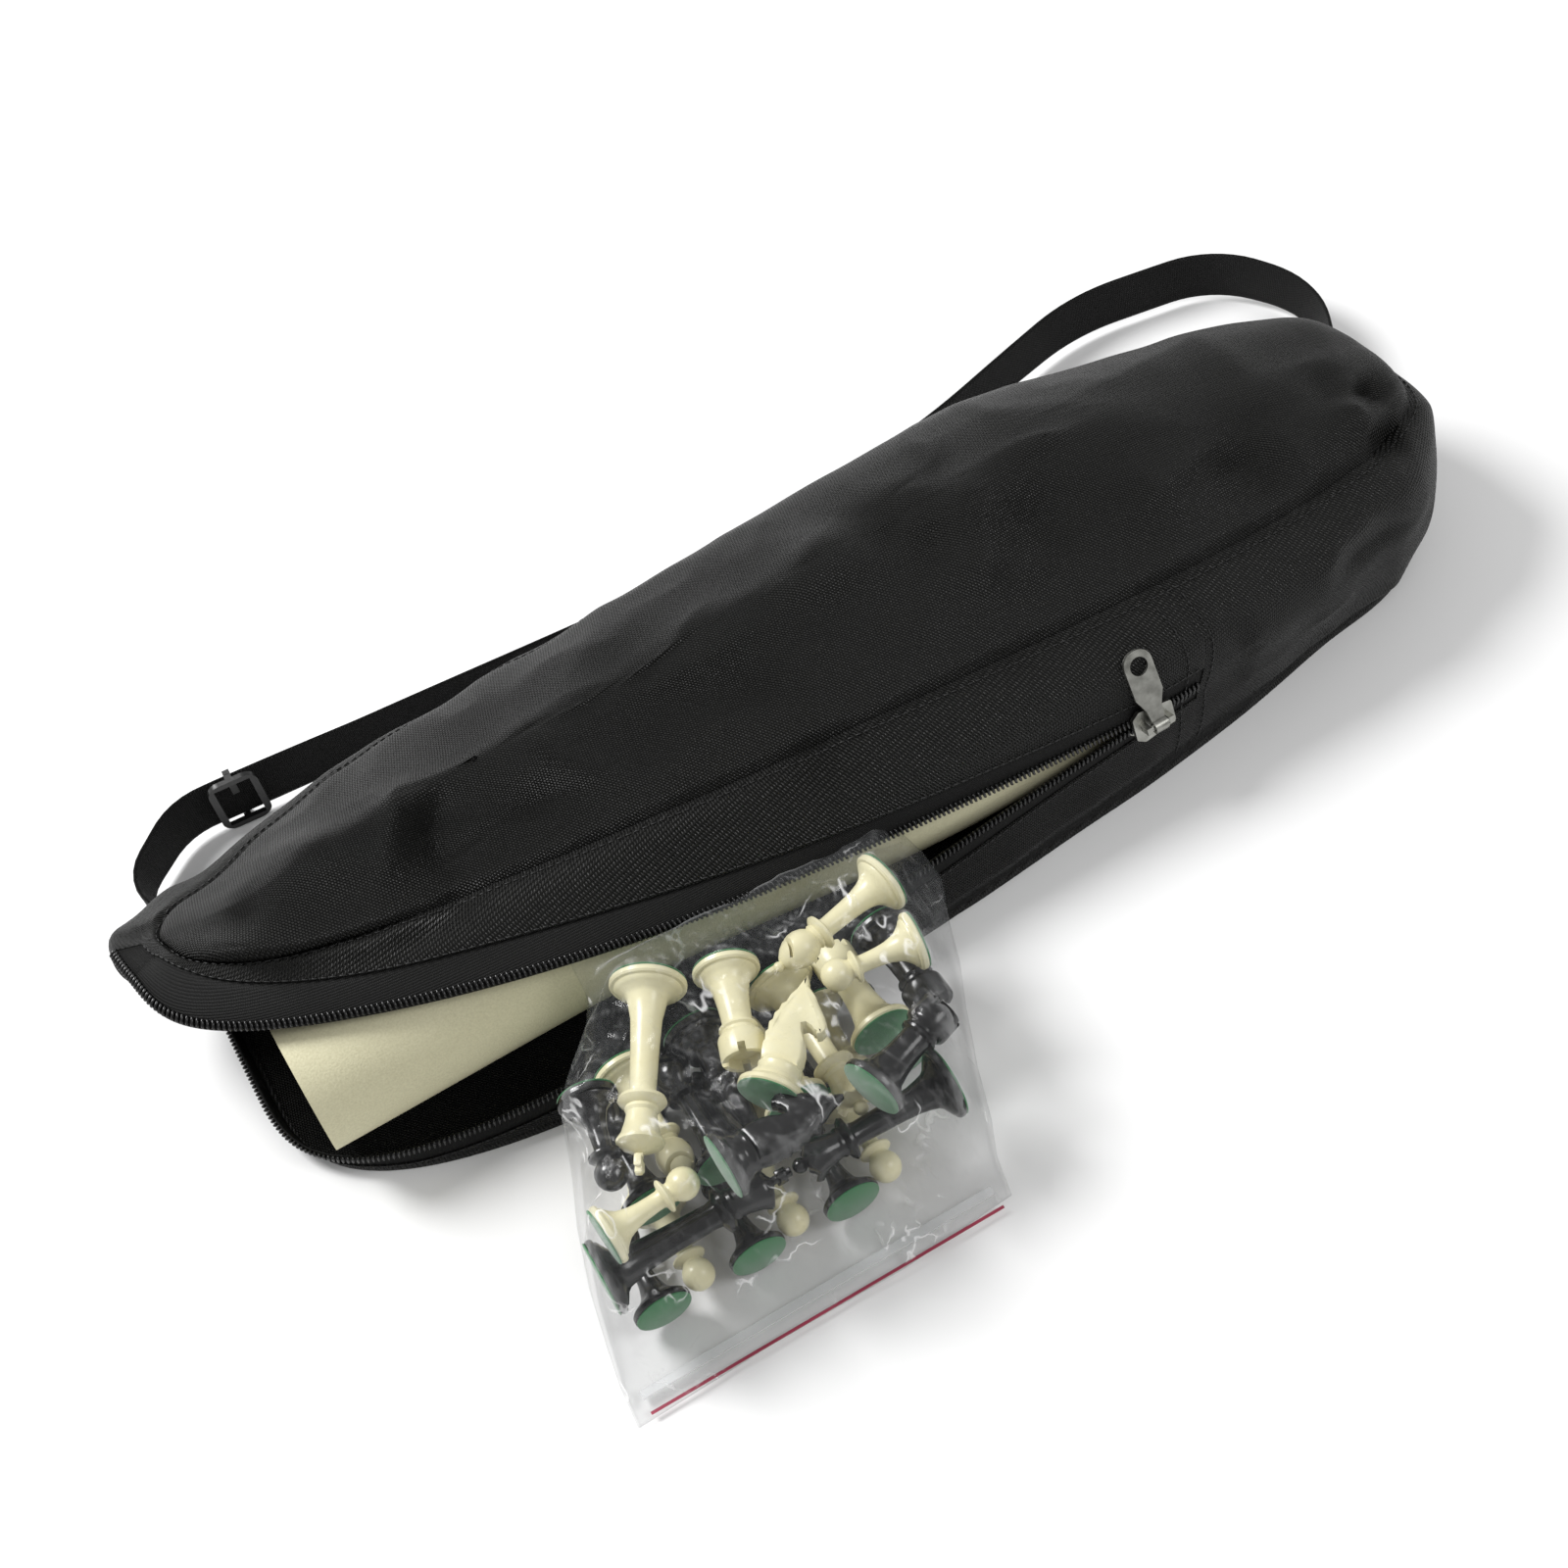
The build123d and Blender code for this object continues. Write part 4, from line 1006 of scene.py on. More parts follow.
pawn_shape = turn_on_lathe("pawn shape", foot(9.75, 4.2) + [
    (4.2, 8.6), (3.5, 11), (3.1, 14), (2.9, 18), (2.9, 20.4), (3.2, 21.0), (4.9, 21.4), (5.5, 21.9), (5.5, 22.5),
    (4.9, 23.0), (3.6, 23.4), (3.2, 23.8)] + ball(5.3, 28.7, -50, 90, 10))
rook_shape = turn_on_lathe("rook shape", foot(11.0, 6.0) + [
    (6.3, 8.6), (5.7, 11), (5.2, 15), (4.9, 20), (5.0, 22.4), (6.2, 23.0), (6.4, 23.8), (5.8, 24.5), (5.9, 25.4),
    (7.2, 26.6), (7.5, 27.6), (7.6, 34.4), (7.3, 35.0), (5.7, 35.0), (5.4, 34.6), (5.3, 31.6), (0, 31.2)])
cut_away(rook_shape, cutting_box((20, 2.4, 5), (0, 0, 34.6)), cutting_box((2.4, 20, 5), (0, 0, 34.6)))
bishop_shape = turn_on_lathe("bishop shape", foot(10.75, 4.8) + [
    (4.6, 9), (4.0, 12), (3.6, 17), (3.3, 25.6), (3.7, 26.6), (6.0, 27.6), (6.2, 28.6), (5.4, 29.3), (4.2, 29.8),
    (4.4, 30.7), (3.8, 31.4), (5.2, 33.2), (6.0, 35.6), (6.1, 37.4), (5.5, 40), (4.2, 42.4), (2.4, 44.3), (1.3, 45.0)]
    + ball(1.75, 46.25, -45, 90, 6))
cut_away(bishop_shape, cutting_box((8, 14, 1.1), (4.6, 0, 39.8), math.radians(35)))
print("pawn faces", len(pawn_shape.data.polygons), "rook", len(rook_shape.data.polygons))

# %% Queen and king
crown_points = 8
queen_shape = turn_on_lathe("queen shape", foot(12.0, 5.6) + [
    (5.4, 9.6), (4.7, 13), (4.2, 20), (3.8, 33.6), (4.2, 35.2), (6.9, 36.4), (7.2, 37.4), (6.2, 38.4), (4.8, 39.0),
    (5.0, 40.0), (4.4, 41.0), (5.0, 44), (6.2, 48), (7.6, 50.8), (7.2, 51.2), (5.9, 50.2), (4.6, 50.6), (2.6, 52.2), (1.7, 52.5)]
    + ball(2.5, 54.4, -45, 90, 7), 48)
for vertex in queen_shape.data.vertices:
    rim = max(0.0, 1 - abs(vertex.co.z - 51.0 * MM) / (1.6 * MM)) * (vertex.co.xy.length > 6.6 * MM)
    turn = math.atan2(vertex.co.y, vertex.co.x)
    vertex.co.z += rim * 0.9 * MM * math.cos(crown_points * turn)
king_shape = turn_on_lathe("king shape", foot(12.5, 6.0) + [
    (5.8, 10.6), (5.1, 14), (4.6, 24), (4.2, 38.6), (4.6, 40.4), (7.4, 41.8), (7.8, 43.0), (6.8, 44.2), (5.2, 44.9),
    (5.4, 46.0), (4.8, 47.0), (5.2, 50), (6.2, 54), (7.6, 56.4), (7.4, 57.2), (5.0, 58.6), (2.4, 59.6), (1.6, 60.2), (0, 60.2)])
cross_outline = [
    (-0.9, 59.6), (0.9, 59.6), (1.1, 62.2), (3.2, 61.6), (3.5, 62.0), (3.5, 65.0), (3.2, 65.4), (1.1, 64.8),
    (1.4, 66.6), (1.0, 67.0), (-1.0, 67.0), (-1.4, 66.6), (-1.1, 64.8), (-3.2, 65.4), (-3.5, 65.0), (-3.5, 62.0),
    (-3.2, 61.6), (-1.1, 62.2),
]
king_shape = join_shapes(king_shape, plate_from_outline("cross", cross_outline, 2.4, (0.25, 0.2)))

# %% Knight
# The outline runs up the mane, over the ears, down the brow to the muzzle, and back under the jaw to the chest.
horse_outline = [
    (6.1, 10.4), (-6.2, 10.4), (-6.9, 13), (-7.5, 16), (-7.1, 17), (-7.9, 19.5), (-7.3, 20.6), (-7.8, 23), (-7.0, 24.2),
    (-7.2, 26.6), (-6.3, 27.9), (-6.2, 30.4), (-5.1, 31.7), (-4.6, 34.4), (-3.4, 37), (-2.6, 40), (-1.7, 42.9), (-0.6, 41.2),
    (0.2, 38.8), (1.6, 37.6), (3.2, 36.2), (5.0, 33.8), (6.6, 31.8), (8.4, 29.6), (9.8, 27.4), (10.1, 25.4), (9.3, 23.6),
    (7.9, 22.9), (7.4, 24.0), (6.4, 24.2), (5.6, 25.0), (3.6, 25.6), (2.4, 25.0), (3.2, 22.8), (4.8, 20.2), (6.0, 17), (6.5, 13.4),
]
horse = plate_from_outline("horse", horse_outline, 8.4, (0.7, 0.75))
for vertex in horse.data.vertices:
    height = vertex.co.z / MM
    across = vertex.co.x / MM
    narrow = 1.0 - 0.42 * float(ease((height - 24) / 18)) - 0.32 * float(ease((across - 3) / 7))
    mane = 0.55 * math.sin(height * 1.25 - across * 0.6) * float(ease((-across - 1.0) / 4)) * (height < 38)
    vertex.co.y *= narrow * (1.06 + 0.09 * mane)
eyes = []
for side in (-1, 1):
    clear_selection()
    bpy.ops.mesh.primitive_uv_sphere_add(segments=12, ring_count=8, radius=1.0 * MM, location=(3.4 * MM, side * 2.7 * MM, 32.2 * MM))
    eye = bpy.context.active_object
    eye.scale = (1.2, 0.7, 0.8)
    bpy.ops.object.transform_apply(location=True, rotation=True, scale=True)
    eyes.append(eye)
knight_foot = turn_on_lathe("knight foot", foot(11.0, 6.6) + [(6.9, 8.4), (7.2, 9.6), (6.6, 10.6), (0, 10.8)])
knight_shape = join_shapes(knight_foot, horse, *eyes)
felt_shape = turn_on_lathe("felt shape", [(0, 0), (0.96, 0), (1.0, 0.2), (1.0, 0.5), (0.97, 0.66), (0, 0.68)], 32)
print("knight faces", len(knight_shape.data.polygons))

# %% Where each man lies


def islands(node):
    """The separate shapes in a CAD node, as arrays of points."""
    work = bmesh.new()
    work.from_mesh(frame["nodes"][node].data)
    bmesh.ops.remove_doubles(work, verts=work.verts, dist=0.002 * MM)
    left = set(work.verts)
    found = []
    while left:
        reach = [left.pop()]
        island = []
        while reach:
            vertex = reach.pop()
            island.append(tuple(vertex.co))
            for edge in vertex.link_edges:
                other = edge.other_vert(vertex)
                if other in left:
                    left.discard(other)
                    reach.append(other)
        found.append(np.array(island))
    work.free()
    return found


def flat_way(points):
    """The thin way of a flat disc of points."""
    return np.linalg.svd(points - points.mean(0), full_matrices=False)[2][2]


man_shapes = {
    "pawns": (pawn_shape, 9.75), "rooks": (rook_shape, 11.0), "knights": (knight_shape, 11.0),
    "bishops": (bishop_shape, 10.75), "queen": (queen_shape, 12.0), "king": (king_shape, 12.5),
}
felt_inset = 0.5
half_felt = 0.35 * MM


def rim_points(island, disc, radius):
    """How many of a man's points lie on the rim of its base, where this felt would put it."""
    middle, way = disc
    along = np.abs((island - middle) @ way)
    out = np.sqrt(np.maximum(((island - middle) ** 2).sum(1) - along ** 2, 0))
    return int(((np.abs(along - half_felt) < 0.12 * MM) & (np.abs(out - radius) < 0.2 * MM)).sum())


laid_men = []
for colour in ("white", "black"):
    discs = [(disc.mean(0), flat_way(disc)) for disc in islands(colour + "_felts")]
    for kind, (shape, radius) in man_shapes.items():
        for island in islands(colour + "_" + kind):
            middle, way = max(discs, key=lambda disc: rim_points(island, disc, radius * MM))
            if rim_points(island, (middle, way), radius * MM) < 6:
                print("no felt found for", colour, kind)
            way = way * np.sign((island.mean(0) - middle) @ way)
            laid_men.append((colour, kind, middle - way * half_felt, way))
print("men laid:", len(laid_men))


def place_matrix(base, way, spin=0.0):
    """Stands a shape on its base with its head along a way; spin 0 has its front up."""
    side = Vector((0, 0, 1)) - Vector(way) * way[2]
    side.normalize()
    side = Quaternion(Vector(way), spin) @ side
    turn = Matrix((side, Vector(way).cross(side), Vector(way))).transposed()
    return np.array(turn), np.array(base)


def laid_copies(shape, places, scale=1.0):
    """One mesh that holds a copy of the shape at each place."""
    points = np.array([v.co for v in shape.data.vertices]) * scale
    faces = [tuple(face.vertices) for face in shape.data.polygons]
    all_points, all_faces = [], []
    for turn, base in places:
        first = sum(len(p) for p in all_points)
        all_points.append(points @ turn.T + base)
        all_faces.extend(tuple(first + k for k in face) for face in faces)
    return np.concatenate(all_points), all_faces


# Knights on top of the heap lie on their cheek; the ones below stay upright between their neighbours.
top_of_heap = 45 * MM
men_pieces = []
for colour, finish, slot in (("white", ivory, "ivory_plastic"), ("black", black_plastic, "black_plastic")):
    for kind, (shape, radius) in man_shapes.items():
        places = []
        for laid_colour, laid_kind, base, way in laid_men:
            if (laid_colour, laid_kind) == (colour, kind):
                spin = 0.7 * len(places)
                if kind == "knights":
                    spin = (math.pi / 2 if colour == "white" else -math.pi / 2) if base[2] > top_of_heap else 0.0
                places.append(place_matrix(base, way, spin))
        points, faces = laid_copies(shape, places)
        piece = make_piece("men_" + colour + "_" + kind, points, faces, finish, "men_bag", (colour + "_" + kind,), smooth_angle=38)
        men_pieces.append(piece)
    discs = []
    for laid_colour, kind, base, way in laid_men:
        if laid_colour == colour:
            turn, base = place_matrix(base, way)
            size = np.diag((man_shapes[kind][1] - felt_inset + 0.25, man_shapes[kind][1] - felt_inset + 0.25, 1.0))
            discs.append((turn @ size, base))
    points, faces = laid_copies(felt_shape, discs)
    felts = make_piece("felts_" + colour, points, faces, felt_finish, "men_bag", (colour + "_felts",), smooth_angle=38)
    men_pieces.append(felts)
for shape in [shape for shape, radius in man_shapes.values()] + [felt_shape]:
    bpy.data.objects.remove(shape)
print("men triangles", sum(sum(len(f.vertices) - 2 for f in p.data.polygons) for p in men_pieces))

# %% [markdown]
# The clear bag is two sheets of thin film. The upper sheet drapes over the men like a stretched skin:
# it starts on the men's tops and is relaxed between them. Small facets then crinkle it.

# %% The film's two sheets
film_rows, film_columns = 112, 132
bag_end_y = -174 * MM
bag_start_y = -45 * MM
# distance along, left edge and right edge in mm, as seen on the table
bag_edges = np.array((
    (-45, -121, -4), (-54, -121, -3), (-62, -128, 1), (-70, -141, 3), (-80, -147, -1), (-95, -153, -6),
    (-110, -159, -13), (-130, -165, -21), (-150, -169, -27), (-160, -171, -31), (-174, -172, -34),
))
# distance along, underside in mm: over the roll, over the lower lip, down to the table
bag_underside = np.array((
    (-45, 47), (-50, 44), (-52.5, 38), (-56, 32), (-62, 29), (-68, 27.5), (-73, 20), (-79, 4), (-83, 0.9), (-174, 0.7),
))


def along_bag(table, y, column):
    return np.interp(-y / MM, -table[:, 0], table[:, column]) * MM


row_y = np.linspace(bag_start_y, bag_end_y, film_rows)
across_share = np.linspace(0, 1, film_columns)
left_x = along_bag(bag_edges, row_y, 1)
right_x = along_bag(bag_edges, row_y, 2)
sheet_x = left_x[:, None] + (right_x - left_x)[:, None] * across_share[None, :]
end_sag = np.interp(across_share, (0, 0.35, 0.7, 1), (0, 1.5, 1.0, 4.0)) * MM
sheet_y = row_y[:, None] + end_sag[None, :] * ease((-row_y[:, None] - 120 * MM) / (54 * MM))

under = along_bag(bag_underside, sheet_y, 1)
men_points = np.concatenate([np.array([v.co for v in piece.data.vertices]) for piece in men_pieces])
men_faces = []
first = 0
for piece in men_pieces:
    men_faces.extend(tuple(first + k for k in face.vertices) for face in piece.data.polygons)
    first += len(piece.data.vertices)
men_tree = BVHTree.FromPolygons([Vector(p) for p in men_points], men_faces)
on_top = np.array(under)
for r in range(film_rows):
    for c in range(film_columns):
        hit = men_tree.ray_cast(Vector((sheet_x[r, c], sheet_y[r, c], 0.2)), Vector((0, 0, -1)))[0]
        if hit is not None:
            on_top[r, c] = max(on_top[r, c], hit.z + 0.5 * MM)
print("men reach", round(on_top.max() / MM, 1), "mm up under the film")

# %% Relaxing the upper sheet
edge_height = np.interp(-row_y / MM, (45, 54, 62, 72, 84, 150, 160, 174), (49, 40, 33, 24, 15, 9, 2.4, 1.6)) * MM
inside_mouth = sheet_y > -54 * MM
upper = np.array(on_top)
mouth_height = upper_edge(sheet_x) - 1.5 * MM + (sheet_y + 54 * MM) * 0.25
floor_of_sheet = on_top
for _ in range(900):
    middle = np.array(upper)
    middle[1:-1, 1:-1] = (upper[:-2, 1:-1] + upper[2:, 1:-1] + upper[1:-1, :-2] + upper[1:-1, 2:]) / 4
    upper = np.maximum(middle, floor_of_sheet)
    upper[:, 0] = edge_height
    upper[:, -1] = edge_height
    upper[-1, :] = 1.6 * MM
    upper = np.where(inside_mouth, mouth_height, upper)
drape = np.array(upper)
for _ in range(3):
    drape[1:-1, 1:-1] = (drape[:-2, 1:-1] + drape[2:, 1:-1] + drape[1:-1, :-2] + drape[1:-1, 2:] + 2 * drape[1:-1, 1:-1]) / 6


# %% Crinkles
def facets(x, y, size, seed, stretch=1.0):
    """A crinkled surface of flat facets: the distance to the nearest of many scattered points."""
    scatter = np.random.default_rng(seed)
    low_x, high_x, low_y, high_y = x.min(), x.max(), y.min(), y.max()
    count = int((high_x - low_x) * (high_y - low_y) / size ** 2)
    px = scatter.uniform(low_x, high_x, count)
    py = scatter.uniform(low_y, high_y, count)
    nearest = np.full(x.shape, np.inf)
    for a, b in zip(px, py):
        nearest = np.minimum(nearest, np.hypot((x - a) * stretch, y - b))
    return nearest / size


calm_edges = ease(np.minimum(across_share, 1 - across_share)[None, :] / 0.06) * ease((sheet_y - bag_end_y - 4 * MM) / (10 * MM))
crinkle = facets(sheet_x + 0.4 * sheet_y, sheet_y, 15 * MM, 3, 1.5) * 2.2 + facets(sheet_x - 0.5 * sheet_y, sheet_y, 7 * MM, 5, 1.3) * 1.1
crinkle += facets(sheet_x, sheet_y, 4.5 * MM, 9) * 0.3
upper_sheet = drape + crinkle * MM * calm_edges * np.where(inside_mouth, 0.0, 1.0)
upper_sheet = np.maximum(upper_sheet, under + 0.5 * MM)
# The sheet's bend marks its creases, which the film's finish paints white as painted highlights.
bend = np.zeros_like(upper_sheet)
bend[1:-1, 1:-1] = np.abs(4 * upper_sheet[1:-1, 1:-1] - upper_sheet[:-2, 1:-1] - upper_sheet[2:, 1:-1] - upper_sheet[1:-1, :-2] - upper_sheet[1:-1, 2:])
crease_glint = np.clip(bend / (1.1 * MM), 0, 1) ** 1.5 * calm_edges

# %% Building the film
sheet_points = np.concatenate((
    np.stack((sheet_x, sheet_y, upper_sheet), axis=2).reshape(-1, 3),
    np.stack((sheet_x, sheet_y, np.minimum(under, upper_sheet - 0.4 * MM)), axis=2).reshape(-1, 3),
))
sheet_faces = []
below = film_rows * film_columns
for r in range(film_rows - 1):
    for c in range(film_columns - 1):
        corner = r * film_columns + c
        sheet_faces.append((corner, corner + film_columns, corner + film_columns + 1, corner + 1))
        sheet_faces.append((below + corner, below + corner + 1, below + corner + film_columns + 1, below + corner + film_columns))
for r in range(film_rows - 1):
    for c, flip in ((0, False), (film_columns - 1, True)):
        corner = r * film_columns + c
        wall = (corner, below + corner, below + corner + film_columns, corner + film_columns)
        sheet_faces.append(wall[::-1] if flip else wall)
for c in range(film_columns - 1):
    corner = (film_rows - 1) * film_columns + c
    sheet_faces.append((corner, below + corner, below + corner + 1, corner + 1))
film_piece = make_piece("clear_bag", sheet_points, sheet_faces, film_finish, "men_bag", ("men_bag_film",), smooth_angle=0)
for face in film_piece.data.polygons:
    face.use_smooth = True
# The creases go on the film for its painted highlights, weaker on the lower sheet.
glints_on_film = film_piece.data.attributes.new("crease_glint", "FLOAT", "POINT")
glints_on_film.data.foreach_set("value", np.concatenate((crease_glint.ravel(), crease_glint.ravel() * 0.3)).astype(np.float32))
print("film faces", len(film_piece.data.polygons), "highest in mm", round(upper_sheet.max() / MM, 1))


# %% [markdown]
# The board is rolled with its cream back outwards. It is one sheet of vinyl on a spiral,
# so it is built as a spiral outline that runs the length of the roll, a little uneven like a real roll.

# %% The rolled board
roll_low, roll_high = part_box("board_roll")
board_side = 430 * MM
board_thickness = 1.4 * MM
roll_radius = 25 * MM
roll_pitch = board_thickness + 0.5 * MM
roll_from = Vector((-0.215, -0.025, 0.03255))
roll_to = Vector((0.215, -0.015, 0.02625))
print("roll box in mm:", [round(v / MM, 1) for v in roll_low], [round(v / MM, 1) for v in roll_high])


def spiral_outline(step=math.radians(6)):
    """Points on the sheet's outer and inner face, from the free edge inwards, on half turns."""
    outer, inner = [], []
    rolled, half_turn = 0.0, 0
    while rolled < board_side - 1 * MM:
        radius = roll_radius - half_turn * roll_pitch / 2
        centre = 0.0 if half_turn % 2 == 0 else -roll_pitch / 2
        turn = min(math.pi, (board_side - rolled) / (radius - board_thickness / 2))
        count = max(2, int(turn / step))
        for k in range(count + (turn < math.pi)):
            angle = math.pi * (half_turn % 2) + turn * k / count
            outer.append((centre + radius * math.cos(angle), radius * math.sin(angle)))
            inner.append((centre + (radius - board_thickness) * math.cos(angle), (radius - board_thickness) * math.sin(angle)))
        rolled += turn * (radius - board_thickness / 2)
        half_turn += 1
    return outer, inner


outer_line, inner_line = spiral_outline()
roll_outline = np.array(outer_line + inner_line[::-1])
roll_way = (roll_to - roll_from).normalized()
roll_side = Vector((0, 1, 0))
roll_up = roll_way.cross(roll_side).normalized()
roll_side = roll_up.cross(roll_way).normalized()
roll_stations = np.concatenate(([0, 0.0015, 0.004], np.linspace(0.02, 0.98, 40), [0.996, 0.9985, 1.0]))
roll_points = []
for share in roll_stations:
    middle = roll_from + roll_way * (board_side * share)
    loose = 1 + 0.25 * math.sin(math.pi * max(share - 0.2, 0.0) / 0.8) ** 2
    for x, y in roll_outline:
        dent = 1 + 0.006 * noise.noise(Vector((share * 9, x * 60, y * 60)))
        towards_mouth = roll_radius - (roll_radius - float(x)) * loose if loose > 1 else float(x)
        spot = middle + roll_side * (towards_mouth * dent) + roll_up * (float(y) * dent)
        roll_points.append(spot)
ring = len(roll_outline)
roll_faces = [(s * ring + k, s * ring + (k + 1) % ring, (s + 1) * ring + (k + 1) % ring, (s + 1) * ring + k)
              for s in range(len(roll_stations) - 1) for k in range(ring)]
last = (len(roll_stations) - 1) * ring
half_ring = ring // 2
for k in range(half_ring - 1):
    mate = ring - 1 - k
    roll_faces.append((k, mate, mate - 1, k + 1))
    roll_faces.append((last + k, last + k + 1, last + mate - 1, last + mate))
board_piece = make_piece("rolled_board", roll_points, roll_faces, cream_vinyl, "board", ("board_roll",), smooth_angle=0)
open_for_edit(board_piece)
close_shape()
clear_selection()
board_piece.select_set(True)
bpy.context.view_layer.objects.active = board_piece
bpy.ops.object.shade_smooth_by_angle(angle=math.radians(35))
print("roll faces", len(board_piece.data.polygons))

# %% [markdown]
# The strap is woven webbing, 20 mm wide, which stands on its edge behind the pouch. It is modelled
# directly as a strip along its route, with thick rounded selvedges and a slow twist.

# %% Webbing strips
end_x = pouch_length / 2
behind_y = pouch_depth / 2
strap_corners = [Vector((x, y, 0)) for x, y in (
    (-end_x + 0.016, behind_y - 0.006), (-end_x + 0.010, behind_y + 0.016), (-end_x + 0.036, behind_y + 0.036),
    (-end_x + 0.108, behind_y + 0.031), (0, behind_y + 0.027), (end_x - 0.138, behind_y + 0.038),
    (end_x - 0.058, behind_y + 0.058), (end_x + 0.002, behind_y + 0.048), (end_x + 0.026, behind_y + 0.010),
    (end_x + 0.010, behind_y - 0.022))]
strap_radii = [v * MM for v in (18, 26, 300, 400, 300, 90, 42, 36)]
strap_floor = 3 * MM
webbing_width = 20 * MM
webbing_thickness = 1.4 * MM


def rounded_route(corners, radii, step=4 * MM):
    """The route's straight runs and tangent arcs, as even points."""
    raw = [corners[0]]
    for before, corner, after, radius in zip(corners, corners[1:], corners[2:], radii):
        way_in = (corner - before).normalized()
        way_out = (after - corner).normalized()
        turn = way_in.angle(way_out)
        reach = radius * math.tan(turn / 2)
        middle = corner + (way_out - way_in).normalized() * (radius / math.cos(turn / 2))
        start = corner - way_in * reach
        axis = way_in.cross(way_out).normalized()
        for k in range(13):
            raw.append(middle + Quaternion(axis, turn * k / 12) @ (start - middle))
    raw.append(corners[-1])
    line = np.array(raw)
    run = np.concatenate(([0], np.cumsum(np.linalg.norm(np.diff(line, axis=0), axis=1))))
    at = np.linspace(0, run[-1], int(run[-1] / step))
    return np.stack([np.interp(at, run, line[:, k]) for k in range(3)], axis=1), run[-1]


# across the strip: distance up its width, and how thick it is there
web_section = ((0.0, 0.35), (0.02, 0.8), (0.06, 1.0), (0.12, 0.86), (0.5, 0.9), (0.88, 0.86), (0.94, 1.0), (0.98, 0.8), (1.0, 0.35))


def webbing_strip(name, line, low_z, width, thickness, body, replaced, lean=None, lift=None, finish=None):
    """A strip that stands on its edge along a plan line; lean tips its top outwards at each point."""
    along = np.gradient(line, axis=0)
    along /= np.linalg.norm(along, axis=1, keepdims=True)
    outward = np.stack((along[:, 1], -along[:, 0], np.zeros(len(line))), axis=1)
    run = np.concatenate(([0], np.cumsum(np.linalg.norm(np.diff(line, axis=0), axis=1))))
    lean = np.zeros(len(line)) if lean is None else lean
    lift = np.zeros(len(line)) if lift is None else lift
    points, uv = [], []
    for spot, out, gone, tip, up in zip(line, outward, run, lean, lift):
        for side in (1, -1):
            section = web_section if side == 1 else web_section[::-1]
            for share, thick in section:
                height = share * width
                place = spot + out * (side * thick * thickness / 2 - math.sin(tip) * height)
                points.append((place[0], place[1], low_z + up + height * math.cos(tip)))
                uv.append((gone, height + (side < 0) * width * 1.3))
    ring_size = 2 * len(web_section)
    faces = [(s * ring_size + k, s * ring_size + (k + 1) % ring_size, (s + 1) * ring_size + (k + 1) % ring_size, (s + 1) * ring_size + k)
             for s in range(len(line) - 1) for k in range(ring_size)]
    faces.append(tuple(range(ring_size))[::-1])
    faces.append(tuple(range((len(line) - 1) * ring_size, len(line) * ring_size)))
    piece = make_piece(name, points, faces, finish or webbing_cloth, body, replaced, uv, smooth_angle=0)
    open_for_edit(piece)
    bpy.ops.mesh.normals_make_consistent(inside=False)
    bpy.ops.object.mode_set(mode="OBJECT")
    clear_selection()
    piece.select_set(True)
    bpy.context.view_layer.objects.active = piece
    bpy.ops.object.shade_smooth_by_angle(angle=math.radians(45))
    return piece


strap_line, strap_length = rounded_route(strap_corners, strap_radii)
shares = np.linspace(0, 1, len(strap_line))
hold = ease(shares / 0.12) * ease((1 - shares) / 0.12)
strap_lean = 0.16 * np.sin(shares * 9.0 + 0.6) * hold
strap_piece = webbing_strip("shoulder_strap", strap_line, strap_floor, webbing_width, webbing_thickness, None,
                            ("strap_webbing",), lean=strap_lean)
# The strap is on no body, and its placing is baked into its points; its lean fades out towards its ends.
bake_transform(strap_piece)
print("strap length in mm", round(strap_length / MM), "faces", len(strap_piece.data.polygons))

# %% Strap tabs
for node, name in (("strap_tab_left", "tab_left"), ("strap_tab_right", "tab_right")):
    low, high = (np.array(corner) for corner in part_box(node))
    mesh = frame["nodes"][node].data
    spots = np.array([v.co for v in mesh.vertices])
    flat = spots[:, :2] - spots[:, :2].mean(0)
    way = np.linalg.svd(flat, full_matrices=False)[2][0]
    reach = flat @ way
    middle = spots[:, :2].mean(0)
    start, stop = middle + way * reach.min(), middle + way * reach.max()
    side_way = np.array((-way[1], way[0]))
    shift = ((flat @ side_way).max() + (flat @ side_way).min()) / 2
    line = np.array([(*(start + (stop - start) * k / 8 + side_way * shift), 0.0) for k in range(9)])
    webbing_strip(name, line, low[2], high[2] - low[2], 2 * webbing_thickness, "pouch", (node,))

# %% [markdown]
# Hard trim keeps its CAD shape and gets its finish: the slider, the pull, the adjuster, the seal.

# %% Finishes for the CAD's hard trim
for node, finish in (("zip_slider_body", nickel), ("zip_pull_tab", nickel), ("strap_adjuster", adjuster_finish),
                     ("bag_seal_ribs", seal_finish), ("bag_seal_line", line_finish)):
    obj = frame["nodes"][node]
    obj.data.materials.clear()
    obj.data.materials.append(finish)

# %% [markdown]
# Stitches hold the tapes and the cross seam. One stitch is modelled once, as a short fat thread end,
# and copied along lines on the skin.

# %% Stitches
stitch_pitch = 3.0 * MM


def stitch_run(row_or_points):
    """Even places along a line of skin points, with the outward direction."""
    line, outward = row_or_points
    run = np.concatenate(([0], np.cumsum(np.linalg.norm(np.diff(line, axis=0), axis=1))))
    at = np.arange(stitch_pitch, run[-1] - stitch_pitch, stitch_pitch)
    centre = np.stack([np.interp(at, run, line[:, k]) for k in range(3)], axis=1)
    out = np.stack([np.interp(at, run, outward[:, k]) for k in range(3)], axis=1)
    return centre, np.gradient(centre, axis=0), out


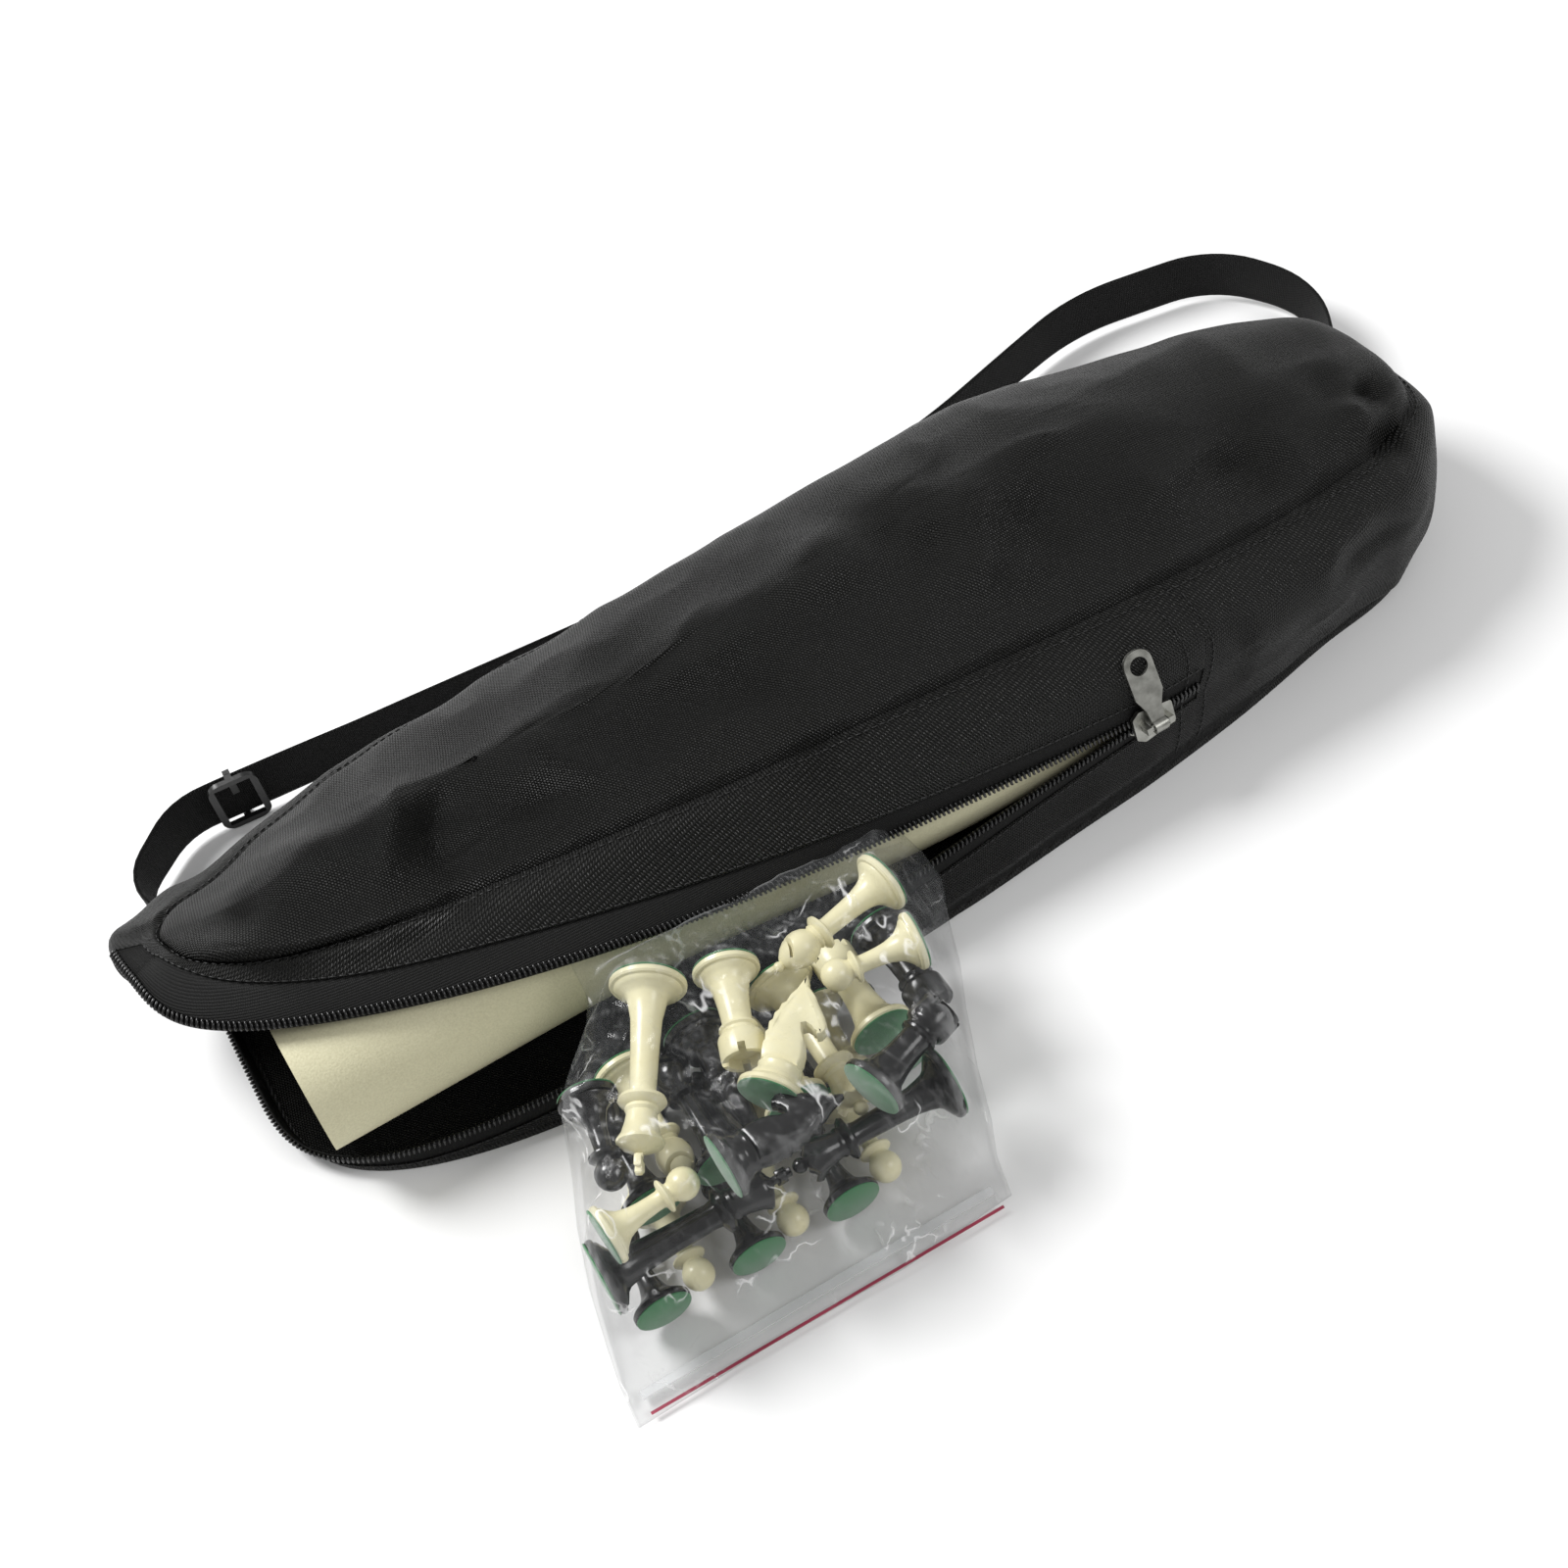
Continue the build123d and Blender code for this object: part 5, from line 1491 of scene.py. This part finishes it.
def make_stitches(name, runs):
    shape, shape_faces = tooth_shape()
    points, faces = [], []
    for run in runs:
        for c, a, o in zip(*stitch_run(run)):
            a = a / np.linalg.norm(a)
            o = o / np.linalg.norm(o)
            x = np.cross(a, o)
            base = len(points)
            for p in shape:
                points.append(c + a * p[0] * 2.1 * MM + x * p[1] * 0.55 * MM + o * (p[2] * 0.5 * MM + 0.12 * MM))
            faces.extend(tuple(base + k for k in face) for face in shape_faces)
    piece = make_piece(name, points, faces, thread_finish, "pouch", smooth_angle=60)
    open_for_edit(piece)
    bpy.ops.mesh.normals_make_consistent(inside=False)
    bpy.ops.object.mode_set(mode="OBJECT")
    return piece


skin_out_normals = skin_normals(skin_out)


def skin_line(row, first_column, last_column, between=0.0):
    """A line on the skin along a row, or part of the way to the next row."""
    picks = [c % columns for c in range(first_column, last_column + 1)]
    line = skin_out[row, picks] * (1 - between) + skin_out[row + 1, picks] * between
    return line, skin_out_normals[row, picks]


def skin_column(column, first_row, last_row, sideways=0.0):
    line = skin_out[first_row:last_row + 1, column % columns] * (1 - sideways)
    line = line + skin_out[first_row:last_row + 1, (column + 1) % columns] * sideways
    return line, skin_out_normals[first_row:last_row + 1, column % columns]


zip_stitches = make_stitches("zip_stitches", [
    skin_line(mark_row[6], zone_start, zone_stop, 0.35),
    skin_line(mark_row[1] - 1, zone_start, zone_stop, 0.65),
])
seam_stitches = make_stitches("seam_stitches", [
    skin_column(zone_stop + 1, first_wall_row + 1, seam_row - 1),
    skin_column(zone_stop - 2, first_wall_row + 1, seam_row - 1),
    skin_line(seam_row - 1, 0, columns - 1, 0.0),
])
print("stitch faces", len(zip_stitches.data.polygons), len(seam_stitches.data.polygons))


# %% Floor, light and world
clear_selection()
bpy.ops.mesh.primitive_plane_add(size=8.0, location=(0, 0, -0.0004))
floor = bpy.context.active_object
floor.name = "floor"
floor_finish, floor_shader = new_finish("pale floor", Roughness=0.9, Base_Color=(0.86, 0.86, 0.86, 1.0), Specular_IOR_Level=0.1)
floor.data.materials.append(floor_finish)

world = bpy.data.worlds.new("soft studio")
bpy.context.scene.world = world
world.use_nodes = True
sky = world.node_tree.nodes["Background"]
sky.inputs["Color"].default_value = (1.0, 1.0, 1.0, 1.0)
sky.inputs["Strength"].default_value = 0.5


def soft_lamp(name, place, size, power):
    data = bpy.data.lights.new(name, "AREA")
    data.shape = "DISK"
    data.size = size
    data.energy = power
    lamp = bpy.data.objects.new(name, data)
    bpy.context.scene.collection.objects.link(lamp)
    lamp.location = place
    lamp.rotation_mode = "QUATERNION"
    lamp.rotation_quaternion = (Vector(place) - camera_target).to_track_quat("Z", "Y")
    return lamp


key_lamp = soft_lamp("key lamp", (-0.75, 0.85, 1.25), 0.7, 30.0)
fill_lamp = soft_lamp("fill lamp", (0.9, -0.9, 1.3), 0.8, 9.0)
bpy.context.scene.view_settings.view_transform = "Standard"
